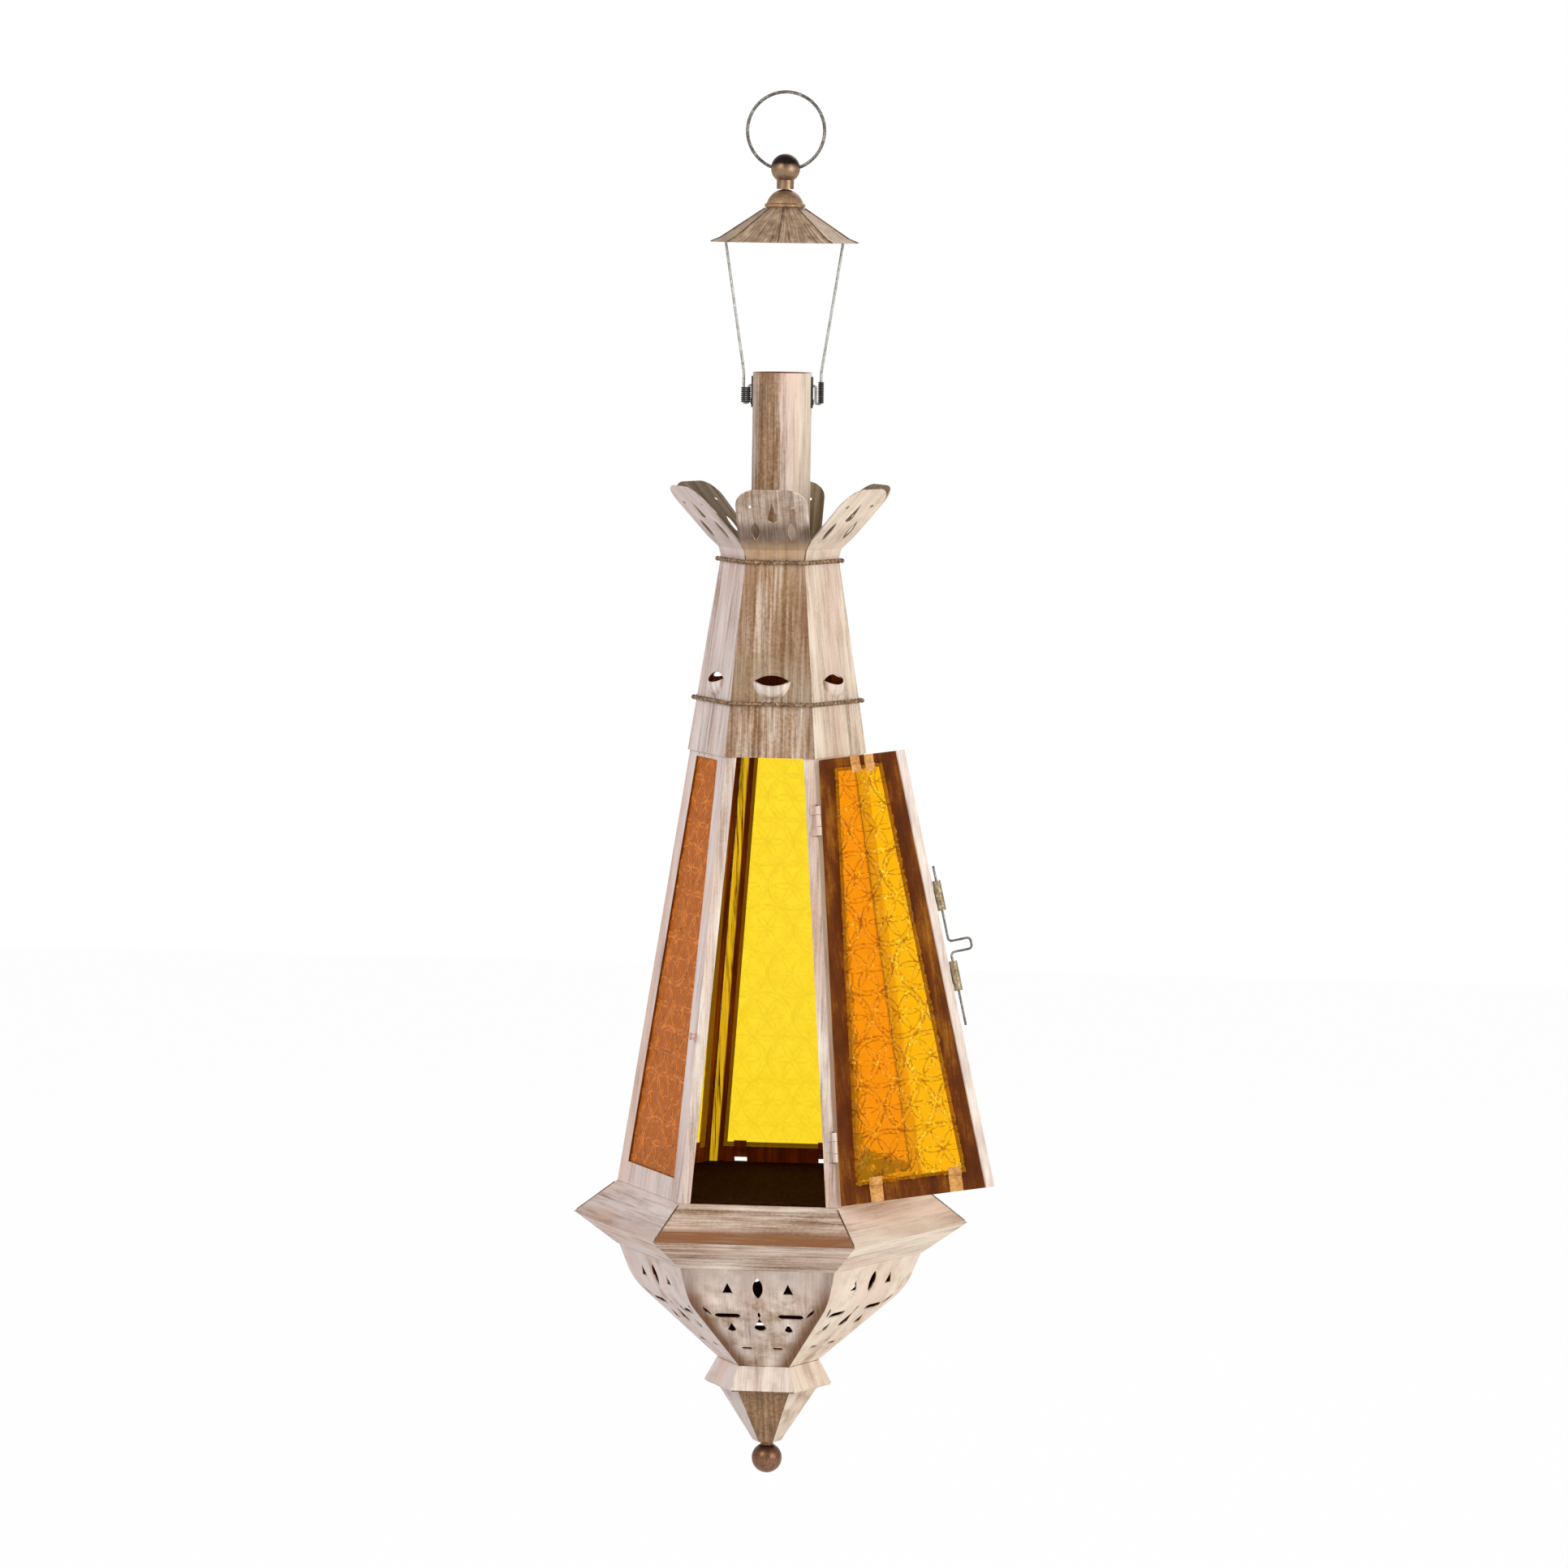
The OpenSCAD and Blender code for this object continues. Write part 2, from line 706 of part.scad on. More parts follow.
// Space under the rim of the lip, which dips as it stands out
module under_rim(low_z) {
    translate([-vent_w / 2, vent_s, 0])
        rotate([atan(vent_dip / vent_out), 0, 0])
            translate([0, -vent_w, low_z])
                cube([vent_w, vent_w, vent_w]);
}
module hood() {
    wall_r = corner_of(sheet / cos(hood_lean));
    extra_r = (hood_foot_r - hood_top_r) * over / hood_h;
    color("#c9b2a0") {
        difference() {
            translate([0, 0, glass_z]) facet_block(hood_foot_r, hood_top_r, hood_h);
            translate([0, 0, glass_z - over])
                facet_block(hood_foot_r - wall_r + extra_r, hood_top_r - wall_r - extra_r, hood_h + 2 * over);
            for (k = [0 : 5])
                on_hood(k) {
                    intersection() {
                        vent_ball(vent_ball_r - sheet);
                        translate([-vent_w / 2, vent_s - vent_w / 2, -vent_out])
                            cube([vent_w, vent_w / 2, 2 * vent_out]);
                    }
                    translate([0, vent_s, -vent_out])
                        linear_extrude(2 * vent_out)
                            rotate([0, 0, 90])
                                leaf(2 * vent_gap, vent_w - 2 * sheet);
                }
        }
        for (k = [0 : 5])
            on_hood(k)
                difference() {
                    intersection() {
                        vent_ball(vent_ball_r);
                        under_rim(-vent_w / 2);
                        translate([-vent_w / 2, vent_s - vent_w / 2, -sheet / 2])
                            cube([vent_w, vent_w / 2, 2 * vent_out]);
                    }
                    vent_ball(vent_ball_r - sheet);
                }
    }
}

// Lift of the panels, so that their inner edge clears the ledge
foot_in = seat_gap - sheet * sin(glass_lean);
// Bent tab that holds a pane, from the inner face of its frame over the edge of the glass
module pane_tab(from_in, pane_edge, inner_face, glass_in, wide = tab_w) {
    way = sign(pane_edge - from_in);
    step_s = pane_edge - way * (seat_gap + tab_t);
    lip_z = glass_in - seat_gap - tab_t;
    low = min(from_in, step_s + way * tab_t);
    translate([-wide / 2, low, inner_face - tab_t])
        cube([wide, abs(step_s + way * tab_t - from_in), tab_t]);
    translate([-wide / 2, min(step_s, step_s + way * tab_t), lip_z])
        cube([wide, tab_t, inner_face - lip_z]);
    translate([-wide / 2, min(step_s, step_s + way * (tab_t + 2 * pane_lap)), lip_z])
        cube([wide, tab_t + 2 * pane_lap, tab_t]);
}

// Fixed panel: a window frame with bent tabs, and a post strip round the corner beside the door
module panel(k, left_post = false, right_post = false, slotted = false) {
    corner_in = sheet * tan(corner_turn) + seam;
    left_in = left_post ? 0 : corner_in;
    right_in = right_post ? 0 : corner_in;
    top_s = glass_l - stile_w / 4;
    tab_x = half_w(0) - stile_w - 1.2 * tab_w;
    top_tab_x = half_w(glass_l) - stile_w - 0.6 * tab_w;
    color("#cbb7a8")
        difference() {
            union() {
                on_glass(k) {
                    difference() {
                        translate([0, 0, -sheet]) side_strip(left_in, right_in, foot_in, glass_l + lap_h, sheet);
                        translate([0, 0, -sheet - over])
                            side_strip(stile_w, stile_w, rail_h, top_s, sheet + 2 * over);
                    }
                    for (side = [-1, 1]) {
                        translate([side * tab_x, 0, 0])
                            pane_tab(rail_h / 3, rail_h - pane_lap, -sheet, pane_in);
                        translate([side * top_tab_x, 0, 0])
                            pane_tab(glass_l + lap_h / 2, top_s + pane_lap, -sheet, pane_in);
                    }
                }
                if (left_post) post_strip(k - 1, 1);
                if (right_post) post_strip(k + 1, -1);
            }
            if (slotted)
                for (side = [-1, 1])
                    on_glass(k)
                        translate([side * tab_x - tab_w / 2, rail_h / 12, -sheet - over])
                            cube([tab_w, rail_h / 5, sheet + 2 * over]);
        }
}
module post_strip(k, side) {
    on_glass(k)
        translate([0, 0, -sheet])
            linear_extrude(sheet)
                polygon([
                    [side * half_w(foot_in), foot_in],
                    [side * (half_w(foot_in) - post_w), foot_in],
                    [side * (half_w(glass_l + lap_h) - post_w), glass_l + lap_h],
                    [side * half_w(glass_l + lap_h), glass_l + lap_h]
                ]);
}

// Pressed-pattern pane of a fixed panel
module pane(k) {
    color("#e8a417", 0.6)
        on_glass(k)
            translate([0, 0, pane_in])
                side_strip(stile_w - pane_lap, stile_w - pane_lap,
                    rail_h - pane_lap, glass_l - stile_w / 4 + pane_lap, pane_t);
}

// Two hinges: straps with knuckles on the right post
hinge_s = [hinge_in, glass_l - hinge_in];
knuckle_gap = 0.2;
hinge_l = door_knuckle_l + 2 * post_knuckle_l + 2 * knuckle_gap;
leaf_w = 3.4;
module knuckle(low, length) {
    difference() {
        translate([0, 0, low]) cylinder(h = length, d = knuckle_d);
        translate([0, 0, low - over]) cylinder(h = length + 2 * over, d = hinge_pin_d + 2 * hinge_play);
    }
}
module leaf_plate(low, length, reach, face, thick) {
    difference() {
        translate([-reach, -face, low]) cube([reach, thick, length]);
        translate([0, 0, low - over]) cylinder(h = length + 2 * over, d = hinge_pin_d + 2 * hinge_play);
    }
}
module post_hinge_straps() {
    strap_l = post_knuckle_l;
    color("#b9a492")
        on_glass(0)
            on_hinge()
                for (s = hinge_s)
                    for (low = [s - hinge_l / 2, s + hinge_l / 2 - strap_l]) {
                        knuckle(low, strap_l);
                        difference() {
                            translate([-leaf_w, hinge_y - sheet - seat_gap, low])
                                cube([leaf_w, sheet, strap_l]);
                            translate([0, 0, low - over])
                                cylinder(h = strap_l + 2 * over, d = hinge_pin_d + 2 * hinge_play);
                        }
                    }
}
module hinge_pins() {
    head_t = sheet;
    color("#5a534b")
        on_glass(0)
            on_hinge()
                for (s = hinge_s)
                    translate([0, 0, s - hinge_l / 2 - seat_gap]) {
                        cylinder(h = hinge_l + 2 * seat_gap, d = hinge_pin_d);
                        translate([0, 0, hinge_l + 2 * seat_gap])
                            cylinder(h = head_t, d = 0.8 * knuckle_d);
                        translate([0, 0, -head_t])
                            cylinder(h = head_t, d = 0.8 * knuckle_d);
                    }
}

// Keeper: a short eye on the left post that the bolt drops into
module keeper() {
    low = bolt_low_s - keeper_l / 6;
    bore_d = bolt_wire + 4 * bolt_play;
    color("#b08f86")
        on_glass(0)
            on_bolt()
                rotate([-90, 0, 0])
                    difference() {
                        union() {
                            translate([0, 0, low]) cylinder(h = keeper_l, d = keeper_d);
                            rotate([0, 0, 180 - heading([bolt_x, bolt_y])])
                                translate([-norm([bolt_x, bolt_y]) + 2 * seat_gap, -sheet / 2, low])
                                    cube([norm([bolt_x, bolt_y]) - 2 * seat_gap, sheet, keeper_l]);
                        }
                        translate([0, 0, low - over]) cylinder(h = keeper_l + 2 * over, d = bore_d);
                    }
}

// Floor that carries the candle
module floor_plate() {
    color("#2a211b")
        translate([0, 0, foot_z + seat_gap])
            facet_block(glass_foot_r - 3 * sheet, glass_foot_r - 3 * sheet, sheet);
}

// Sloped brim with the ledge that carries the glazed part
brim_drop = sheet / cos(atan(brim_h / (flat_r(brim_r) - flat_r(glass_foot_r))));
module brim() {
    color("#c2a184")
        translate([0, 0, brim_edge_z])
            difference() {
                facet_block(brim_r, glass_foot_r, brim_h);
                translate([0, 0, -brim_drop]) facet_block(brim_r, glass_foot_r, brim_h);
                facet_block(glass_foot_r - ledge_w, glass_foot_r - ledge_w, brim_h + over);
            }
}

// Sheet under the brim, drawn in to the bowl
fascia_drop = sheet / cos(atan(fascia_h / (flat_r(brim_r) - flat_r(fascia_r))));
module fascia() {
    color("#c4a893")
        translate([0, 0, fascia_z])
            difference() {
                facet_block(fascia_r, brim_r - seat_gap, fascia_h - seat_gap);
                translate([0, 0, fascia_drop]) facet_block(fascia_r, brim_r, fascia_h);
                translate([0, 0, -over])
                    facet_block(fascia_r - ledge_w, fascia_r - ledge_w, fascia_h);
            }
}

// Pierced gore of the bowl: a steep upper part, a rounded shoulder and a sloped lower part
bowl_top_r = fascia_r - sheet;
bowl_flats = [flat_r(bowl_top_r), flat_r(shoulder_r), flat_r(bowl_foot_r)];
bowl_leans = [
    atan((bowl_flats[0] - bowl_flats[1]) / shoulder_h),
    atan((bowl_flats[1] - bowl_flats[2]) / (bowl_h - shoulder_h))
];
bowl_cut = bowl_bend * tan((bowl_leans[1] - bowl_leans[0]) / 2);
bowl_lower_l = (bowl_h - shoulder_h) / cos(bowl_leans[1]);
bend_steps = 6;
module bowl_profile() {
    shoulder = [bowl_flats[1], -shoulder_h];
    ways = [for (a = bowl_leans) [sin(a), cos(a)]];
    insides = [for (a = bowl_leans) [-cos(a), sin(a)]];
    centre = shoulder + bowl_cut * ways[0] + bowl_bend * insides[0];
    top = [bowl_flats[0], 0];
    foot = [bowl_flats[2], -bowl_h];
    turns = [for (i = [0 : bend_steps]) -bowl_leans[0] - (bowl_leans[1] - bowl_leans[0]) * i / bend_steps];
    polygon(concat(
        [top],
        [for (a = turns) centre + bowl_bend * turned(a)],
        [foot, foot - [sheet / cos(bowl_leans[1]), 0]],
        [for (i = [bend_steps : -1 : 0]) centre + (bowl_bend - sheet) * turned(turns[i])],
        [top - [sheet / cos(bowl_leans[0]), 0]]
    ));
}
module gore_piercings() {
    on_slope(0, bowl_flats[0], bowl_z, bowl_leans[0])
        translate([0, -shoulder_h * 0.58])
            punch() {
                leaf(oval_w, oval_h);
                for (side = [-1, 1])
                    translate([side * shoulder_r / 4.6, 0]) triangle(triangle_w, triangle_h);
            }
    on_slope(0, bowl_flats[1], bowl_z - shoulder_h, bowl_leans[1])
        punch() {
            translate([0, -bowl_lower_l / 2.6]) drop(drop_w, drop_h);
            translate([0, -bowl_lower_l / 2.6 + drop_h]) leaf(drop_w / 4, drop_h / 2);
            for (side = [-1, 1]) {
                translate([side * shoulder_r / 4.4, -bowl_lower_l / 5]) slot(slot_w, slot_h);
                translate([side * shoulder_r / 4.9, -bowl_lower_l / 2.4]) drop(0.7 * drop_w, 0.7 * drop_h);
                translate([side * shoulder_r / 2.7, -bowl_lower_l / 7])
                    rotate([0, 0, side * -corner_turn])
                        leaf(slot_h / 2.4, slot_w / 1.4);
                translate([side * shoulder_r / 9, -bowl_lower_l / 1.4]) slot(slot_w / 2.4, slot_h / 2);
            }
        }
}
module gore(k) {
    reach = bowl_flats[0] + over;
    near = seam / sin(corner_turn);
    color("#c6b2a4")
        rotate([0, 0, side_turn * k])
            difference() {
                intersection() {
                    translate([bowl_top_r / 2 + over, 0, bowl_z])
                        rotate([90, 0, -90])
                            linear_extrude(bowl_top_r + 2 * over)
                                bowl_profile();
                    translate([0, 0, bowl_z - bowl_h - over])
                        linear_extrude(bowl_h + 2 * over)
                            polygon([
                                [0, -near],
                                [-(reach - near) * tan(corner_turn), -reach],
                                [(reach - near) * tan(corner_turn), -reach]
                            ]);
                }
                gore_piercings();
            }
}

// Flared collar under the bowl
collar_drop = sheet / cos(atan(collar_h / (flat_r(collar_r) - flat_r(bowl_foot_r))));
module collar() {
    color("#c9a595")
        translate([0, 0, collar_z - collar_h])
            difference() {
                facet_block(collar_r, bowl_foot_r + sheet, collar_h);
                translate([0, 0, -collar_drop]) facet_block(collar_r, bowl_foot_r + sheet, collar_h);
                cylinder(h = collar_h + over, r = flat_r(bowl_foot_r) - 4 * sheet);
            }
}

// Six-sided cone with a flange that closes the collar
cone_wall = sheet / cos(atan((flat_r(cone_r) - flat_r(cone_foot_r)) / cone_h));
module lower_cone() {
    color("#b48f7a")
        translate([0, 0, cone_foot_z])
            difference() {
                union() {
                    facet_block(cone_foot_r, cone_r, cone_h);
                    translate([0, 0, cone_h]) facet_block(collar_r - sheet, collar_r - sheet, sheet);
                }
                translate([0, 0, sheet])
                    facet_block(cone_foot_r - cone_wall, cone_r - cone_wall, cone_h + over - sheet);
                translate([0, 0, -over]) cylinder(h = sheet + 2 * over, d = shank_d + 2 * seat_gap);
            }
}

// Finial ball with its neck and screw
module finial_ball() {
    color("#a06a42")
        translate([0, 0, finial_z]) {
            sphere(d = finial_d);
            cylinder(h = finial_d / 2 + finial_neck_h, d = finial_neck_d);
            cylinder(h = finial_d / 2 + finial_neck_h + 2 * sheet + 2 * nut_h, d = shank_d);
        }
}
module finial_nut() {
    color("#5a534b")
        translate([0, 0, cone_foot_z + sheet + seat_gap])
            hex_nut(shank_d + 2 * seat_gap);
}

// Door: a window frame with a folded hem on its free edge
module door_frame() {
    low = door_gap;
    high = glass_l - door_gap;
    tab_x = half_w(0) - door_hinge_stile - 1.4 * tab_w;
    color("#c9b5a2")
        on_door(door_open) {
            difference() {
                translate([0, 0, door_in]) side_strip(free_edge_in, door_edge_in, low, high, sheet);
                translate([0, 0, door_in - over])
                    side_strip(door_free_stile, door_hinge_stile,
                        low + door_rail_h, high - door_head_h, sheet + 2 * over);
            }
            translate([0, 0, door_in - sheet])
                linear_extrude(sheet)
                    polygon([
                        [-half_w(low) + free_edge_in, low],
                        [-half_w(low) + free_edge_in + hem_w, low],
                        [-half_w(high) + free_edge_in + hem_w, high],
                        [-half_w(high) + free_edge_in, high]
                    ]);
            for (side = [-1, 1]) {
                translate([side * tab_x, 0, 0])
                    pane_tab(low, low + door_rail_h - pane_lap, door_in, door_pane_in);
                translate([side * 0.75 * top_tab_w, 0, 0])
                    pane_tab(high, high - door_head_h + pane_lap, door_in, door_pane_in, top_tab_w);
            }
        }
}
module door_pane() {
    color("#f0ac10", 0.6)
        on_door(door_open)
            translate([0, 0, door_pane_in])
                side_strip(door_free_stile - pane_lap, door_hinge_stile - pane_lap,
                    door_gap + door_rail_h - pane_lap, glass_l - door_gap - door_head_h + pane_lap, pane_t);
}
module door_hinge_leaves() {
    color("#b9a492")
        on_door(door_open)
            on_hinge()
                for (s = hinge_s) {
                    knuckle(s - door_knuckle_l / 2, door_knuckle_l);
                    leaf_plate(s - door_knuckle_l / 2, door_knuckle_l, 2 * leaf_w, sheet + seat_gap, sheet);
                }
}

// Guide tube of the bolt, with a strap soldered on the outer face of the door
module latch_guide(low) {
    strap_reach = bolt_x + 2 * hem_w;
    strap_y = door_out + seat_gap - bolt_y;
    color("#857058")
        on_door(door_open)
            on_bolt()
                difference() {
                    union() {
                        translate([0, low, 0])
                            rotate([-90, 0, 0])
                                cylinder(h = guide_l, d = guide_d);
                        translate([0, low + guide_l / 4, strap_y]) cube([strap_reach, guide_l / 2, sheet]);
                    }
                    translate([0, low - over, 0])
                        rotate([-90, 0, 0])
                            cylinder(h = guide_l + 2 * over, d = bolt_wire + 2 * bolt_play);
                }
}

// Wire bolt with a bent handle, dropped into the keeper when the door is shut
module latch_bolt() {
    handle_s = guide_low_s + guide_l + bolt_wire / 2 + 2 * bolt_bend;
    color("#8b8780")
        on_door(door_open)
            on_bolt()
                rotate([-90, 0, 0])
                    bent_wire([
                        [0, bolt_low_s],
                        [0, handle_s],
                        [-handle_out, handle_s],
                        [-handle_out, handle_s + handle_w],
                        [0, handle_s + handle_w],
                        [0, bolt_high_s]
                    ], bolt_bend, bolt_wire);
}

hanging_ring();
top_ball();
cap_dome();
rain_cap();
bail();
shank_nut();
chimney();
ear_left();
ear_right();
petal(0);  // petal_front
petal(1);  // petal_front_right
petal(2);  // petal_back_right
petal(3);  // petal_back
petal(4);  // petal_back_left
petal(5);  // petal_front_left
top_deck();
upper_bead_band();
hood();
lower_bead_band();
panel(1, left_post = true);  // panel_front_right
panel(2, slotted = true);  // panel_back_right
panel(3, slotted = true);  // panel_back
panel(4, slotted = true);  // panel_back_left
panel(5, right_post = true);  // panel_front_left
pane(1);  // pane_front_right
pane(2);  // pane_back_right
pane(3);  // pane_back
pane(4);  // pane_back_left
pane(5);  // pane_front_left
post_hinge_straps();
hinge_pins();
keeper();
floor_plate();
brim();
fascia();
gore(0);  // gore_front
gore(1);  // gore_front_right
gore(2);  // gore_back_right
gore(3);  // gore_back
gore(4);  // gore_back_left
gore(5);  // gore_front_left
collar();
lower_cone();
finial_ball();
finial_nut();
door_frame();
door_pane();
door_hinge_leaves();
latch_guide(guide_high_s);  // latch_guide_upper
latch_guide(guide_low_s);  // latch_guide_lower
latch_bolt();
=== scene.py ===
# %% [markdown]
# # A hanging lantern with amber glass
# The lantern is thin sheet metal, folded and soldered by hand, copper brown under a
# brushed whitewash. Patterned amber glass stands in its sides and in its open door.
# The CAD model gives the metal its shape and place. This script dresses it: it presses
# the pattern into the glass, cuts the petals and bends the bail anew, adds the solder
# lines and the wound wire, brushes the paint on, and sets up the camera and the lights.

# %% Load the frame
import json
import math
import bpy
from mathutils import Matrix, Vector


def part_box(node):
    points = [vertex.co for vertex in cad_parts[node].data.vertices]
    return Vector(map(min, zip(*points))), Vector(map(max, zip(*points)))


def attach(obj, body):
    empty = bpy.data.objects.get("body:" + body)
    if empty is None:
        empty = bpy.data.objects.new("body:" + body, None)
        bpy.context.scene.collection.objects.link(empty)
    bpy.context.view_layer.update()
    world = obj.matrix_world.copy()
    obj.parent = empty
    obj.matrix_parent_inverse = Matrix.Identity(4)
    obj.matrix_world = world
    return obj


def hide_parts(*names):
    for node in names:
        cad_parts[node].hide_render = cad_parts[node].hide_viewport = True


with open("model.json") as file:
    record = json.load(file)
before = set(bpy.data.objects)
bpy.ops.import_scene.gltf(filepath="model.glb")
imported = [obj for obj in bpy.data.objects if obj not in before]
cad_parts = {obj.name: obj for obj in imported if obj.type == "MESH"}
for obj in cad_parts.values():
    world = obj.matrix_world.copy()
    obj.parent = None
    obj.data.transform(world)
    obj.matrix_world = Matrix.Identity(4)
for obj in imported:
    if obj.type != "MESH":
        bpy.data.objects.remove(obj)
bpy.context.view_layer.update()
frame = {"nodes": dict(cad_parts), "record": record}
nodes = frame["nodes"]


# %% [markdown]
# ## Places on the lantern
# The CAD model leans each side of the glazed part back a little, and turns it sixty
# degrees at a time. The same frames are written here once, in metres, so that a pane
# can be modelled flat at the origin and then stood in its window.

# %% Frames of the sides and of the door
MM = 0.001
BRIM_EDGE_Z, FOOT_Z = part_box("brim")[0][2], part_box("brim")[1][2]
GLASS_Z, DECK_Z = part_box("hood")[0][2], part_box("top_deck")[1][2]
GLASS_FOOT_R = 67.5 * MM
GLASS_TOP_R = 38.0 * MM
GLASS_H = GLASS_Z - FOOT_Z
SHEET = 0.6 * MM
PANE_T = 2.0 * MM
DOOR_OPEN = 190

# In a hexagon, a side's distance from the middle as a share of the corner's, and half a
# side's width as a share of that distance
flat_share = math.cos(math.radians(30))
half_side = math.tan(math.radians(30))
glass_lean = math.atan((GLASS_FOOT_R - GLASS_TOP_R) * flat_share / GLASS_H)
glass_l = GLASS_H / math.cos(glass_lean)
post_lean = math.atan((GLASS_FOOT_R - GLASS_TOP_R) / 2 / glass_l)


def half_width(s):
    """Half the width of a glazed side, at a distance up its slope."""
    return (GLASS_FOOT_R - (GLASS_FOOT_R - GLASS_TOP_R) * s / glass_l) / 2


def side_frame(k):
    """The frame of side k: X along the side, Y up its slope, Z outwards."""
    turn = Matrix.Rotation(math.radians(60 * k), 4, "Z")
    place = Matrix.Translation((0, -GLASS_FOOT_R * flat_share, FOOT_Z))
    lean = Matrix.Rotation(math.radians(90) - glass_lean, 4, "X")
    return turn @ place @ lean


door_joint = next(j for j in frame["record"]["behaviour"]["joints"] if j["name"] == "door_hinge")
hinge_point = Vector(door_joint["pos_m"])
hinge_axis = Vector(door_joint["axis"]).normalized()
to_hinge = Matrix.Translation(hinge_point)
door_turn = Matrix.Rotation(math.radians(DOOR_OPEN), 4, hinge_axis)
door_swing = to_hinge @ door_turn @ to_hinge.inverted()
door_frame_matrix = door_swing @ side_frame(0)
print("glass slope", round(glass_l / MM, 1), "mm, lean", round(math.degrees(glass_lean), 2))


# %% [markdown]
# ## Paint and glass without a picture
# Every colour comes from procedural nodes. A small class wraps a socket, so that a
# mask is written as plain arithmetic, and one method makes any other node.

# %% Nodes as Python expressions
class Value:
    """A number that flows between nodes."""

    def __init__(self, paint, socket):
        self.paint = paint
        self.socket = socket

    def _math(self, operation, first, second=None):
        inputs = {0: first} if second is None else {0: first, 1: second}
        return self.paint.node("ShaderNodeMath", {"operation": operation}, inputs)

    def __add__(self, other):
        return self._math("ADD", self, other)

    def __sub__(self, other):
        return self._math("SUBTRACT", self, other)

    def __rsub__(self, other):
        return self._math("SUBTRACT", other, self)

    def __mul__(self, other):
        return self._math("MULTIPLY", self, other)

    def __abs__(self):
        return self._math("ABSOLUTE", self)

    def above(self, level):
        return self._math("GREATER_THAN", self, level)

    def larger(self, other):
        return self._math("MAXIMUM", self, other)

    def between(self, low, high):
        """0 below low, 1 above high, and smooth between them."""
        settings = {"interpolation_type": "SMOOTHSTEP"}
        inputs = {0: self, 1: low, 2: high}
        return self.paint.node("ShaderNodeMapRange", settings, inputs, "Result")

    __radd__ = __add__
    __rmul__ = __mul__


class Paint:
    """A material under construction."""

    def __init__(self, name, **shader):
        self.material = bpy.data.materials.new(name)
        self.material.use_nodes = True
        self.tree = self.material.node_tree
        self.shader = self.tree.nodes["Principled BSDF"]
        for socket, value in shader.items():
            self.shader.inputs[socket.replace("_", " ")].default_value = value

    def node(self, kind, settings=None, inputs=None, output=0):
        made = self.tree.nodes.new(kind)
        for key, value in (settings or {}).items():
            if key == "stops":
                ramp = made.color_ramp
                while len(ramp.elements) < len(value):
                    ramp.elements.new(0.5)
                for stop, (place, colour) in zip(ramp.elements, value):
                    stop.position = place
                    stop.color = (*colour, 1)
            else:
                setattr(made, key, value)
        for key, value in (inputs or {}).items():
            self.feed(made.inputs[key], value)
        return Value(self, made.outputs[output])

    def feed(self, socket, value):
        if isinstance(value, Value):
            self.tree.links.new(value.socket, socket)
        elif isinstance(value, tuple) and socket.type == "RGBA":
            socket.default_value = (*value[:3], 1)
        else:
            socket.default_value = value

    def to(self, socket, value):
        self.feed(self.shader.inputs[socket], value)

    def blend(self, share, under, over):
        settings = {"data_type": "RGBA"}
        return self.node("ShaderNodeMix", settings, {"Factor": share, 6: under, 7: over}, 2)

    def noise(self, vector, scale, detail=3.0, roughness=0.55):
        inputs = {"Vector": vector, "Scale": scale, "Detail": detail, "Roughness": roughness}
        return self.node("ShaderNodeTexNoise", {}, inputs, "Fac")

    def parts(self, vector):
        split = self.node("ShaderNodeSeparateXYZ", {}, {0: vector}).socket.node
        return [Value(self, socket) for socket in split.outputs]

    def vector(self, x, y, z):
        return self.node("ShaderNodeCombineXYZ", {}, {0: x, 1: y, 2: z})

    def place(self):
        return self.node("ShaderNodeTexCoord", {}, {}, "Object")

    def facing(self):
        return self.node("ShaderNodeTexCoord", {}, {}, "Normal")

    def bump(self, height, strength, distance):
        inputs = {"Strength": strength, "Distance": distance, "Height": height}
        self.to("Normal", self.node("ShaderNodeBump", {}, inputs, "Normal"))


def linear(*srgb):
    """A colour as read off a screen, 0 to 255, made linear."""
    return tuple(((c / 255 + 0.055) / 1.055) ** 2.4 if c > 10 else c / 255 / 12.92 for c in srgb)


# %% [markdown]
# ## Brushed whitewash
# The real finish is a thin whitewash, brushed on in one direction and rubbed off again, so that long
# streaks of cream and pink lie over copper brown. The chalk is tinted lilac on the sheets that face
# left and a lighter peach on those that face right, as painted light, and the sheets that face the
# front and the back are darker, as painted shade. On six leaning sides the streaks have to follow
# each side. The distance along a side and the distance out from the middle are worked out from the
# place alone: of the three pairs of sides, the one that is farthest out is the side that is being
# painted.

# %% Coordinates that follow six sides
def six_sided(paint):
    """Distance along a side, distance out from the middle, a number for the side, height."""
    x, y, z = paint.parts(paint.place())
    along, out, side = None, None, None
    for number, angle in enumerate((90, 30, -30)):
        c, s = math.cos(math.radians(angle)), math.sin(math.radians(angle))
        reach = x * c + y * s
        across = x * -s + y * c
        tag = reach.above(0) * 0.13 + 0.031 * number
        if out is None:
            along, out, side = across, abs(reach), tag
        else:
            here = abs(reach).above(out)
            along = across * here + along * (1 - here)
            side = tag * here + side * (1 - here)
            out = abs(reach).larger(out)
    return along, out, side, z


COPPER = (0.30, linear(104, 72, 48)), (0.48, linear(146, 112, 82)), (0.66, linear(186, 156, 124))
CHALK = ((0.34, linear(196, 174, 162)), (0.44, linear(212, 194, 184)),
         (0.52, linear(226, 210, 196)), (0.64, linear(238, 226, 212)))
BARE_INSIDE = (0.3, linear(74, 28, 2)), (0.5, linear(124, 54, 3)), (0.7, linear(164, 88, 8))
# The golden tone of the painted reflection of the amber glass
REFLECTED_AMBER = linear(236, 196, 30)
LILAC, PEACH, UMBER = linear(214, 198, 198), linear(242, 224, 200), linear(96, 74, 56)


def ramp(paint, stops, value):
    """A colour that changes with a number, through tones at given places."""
    return paint.node("ShaderNodeValToRGB", {"stops": stops}, {0: value})


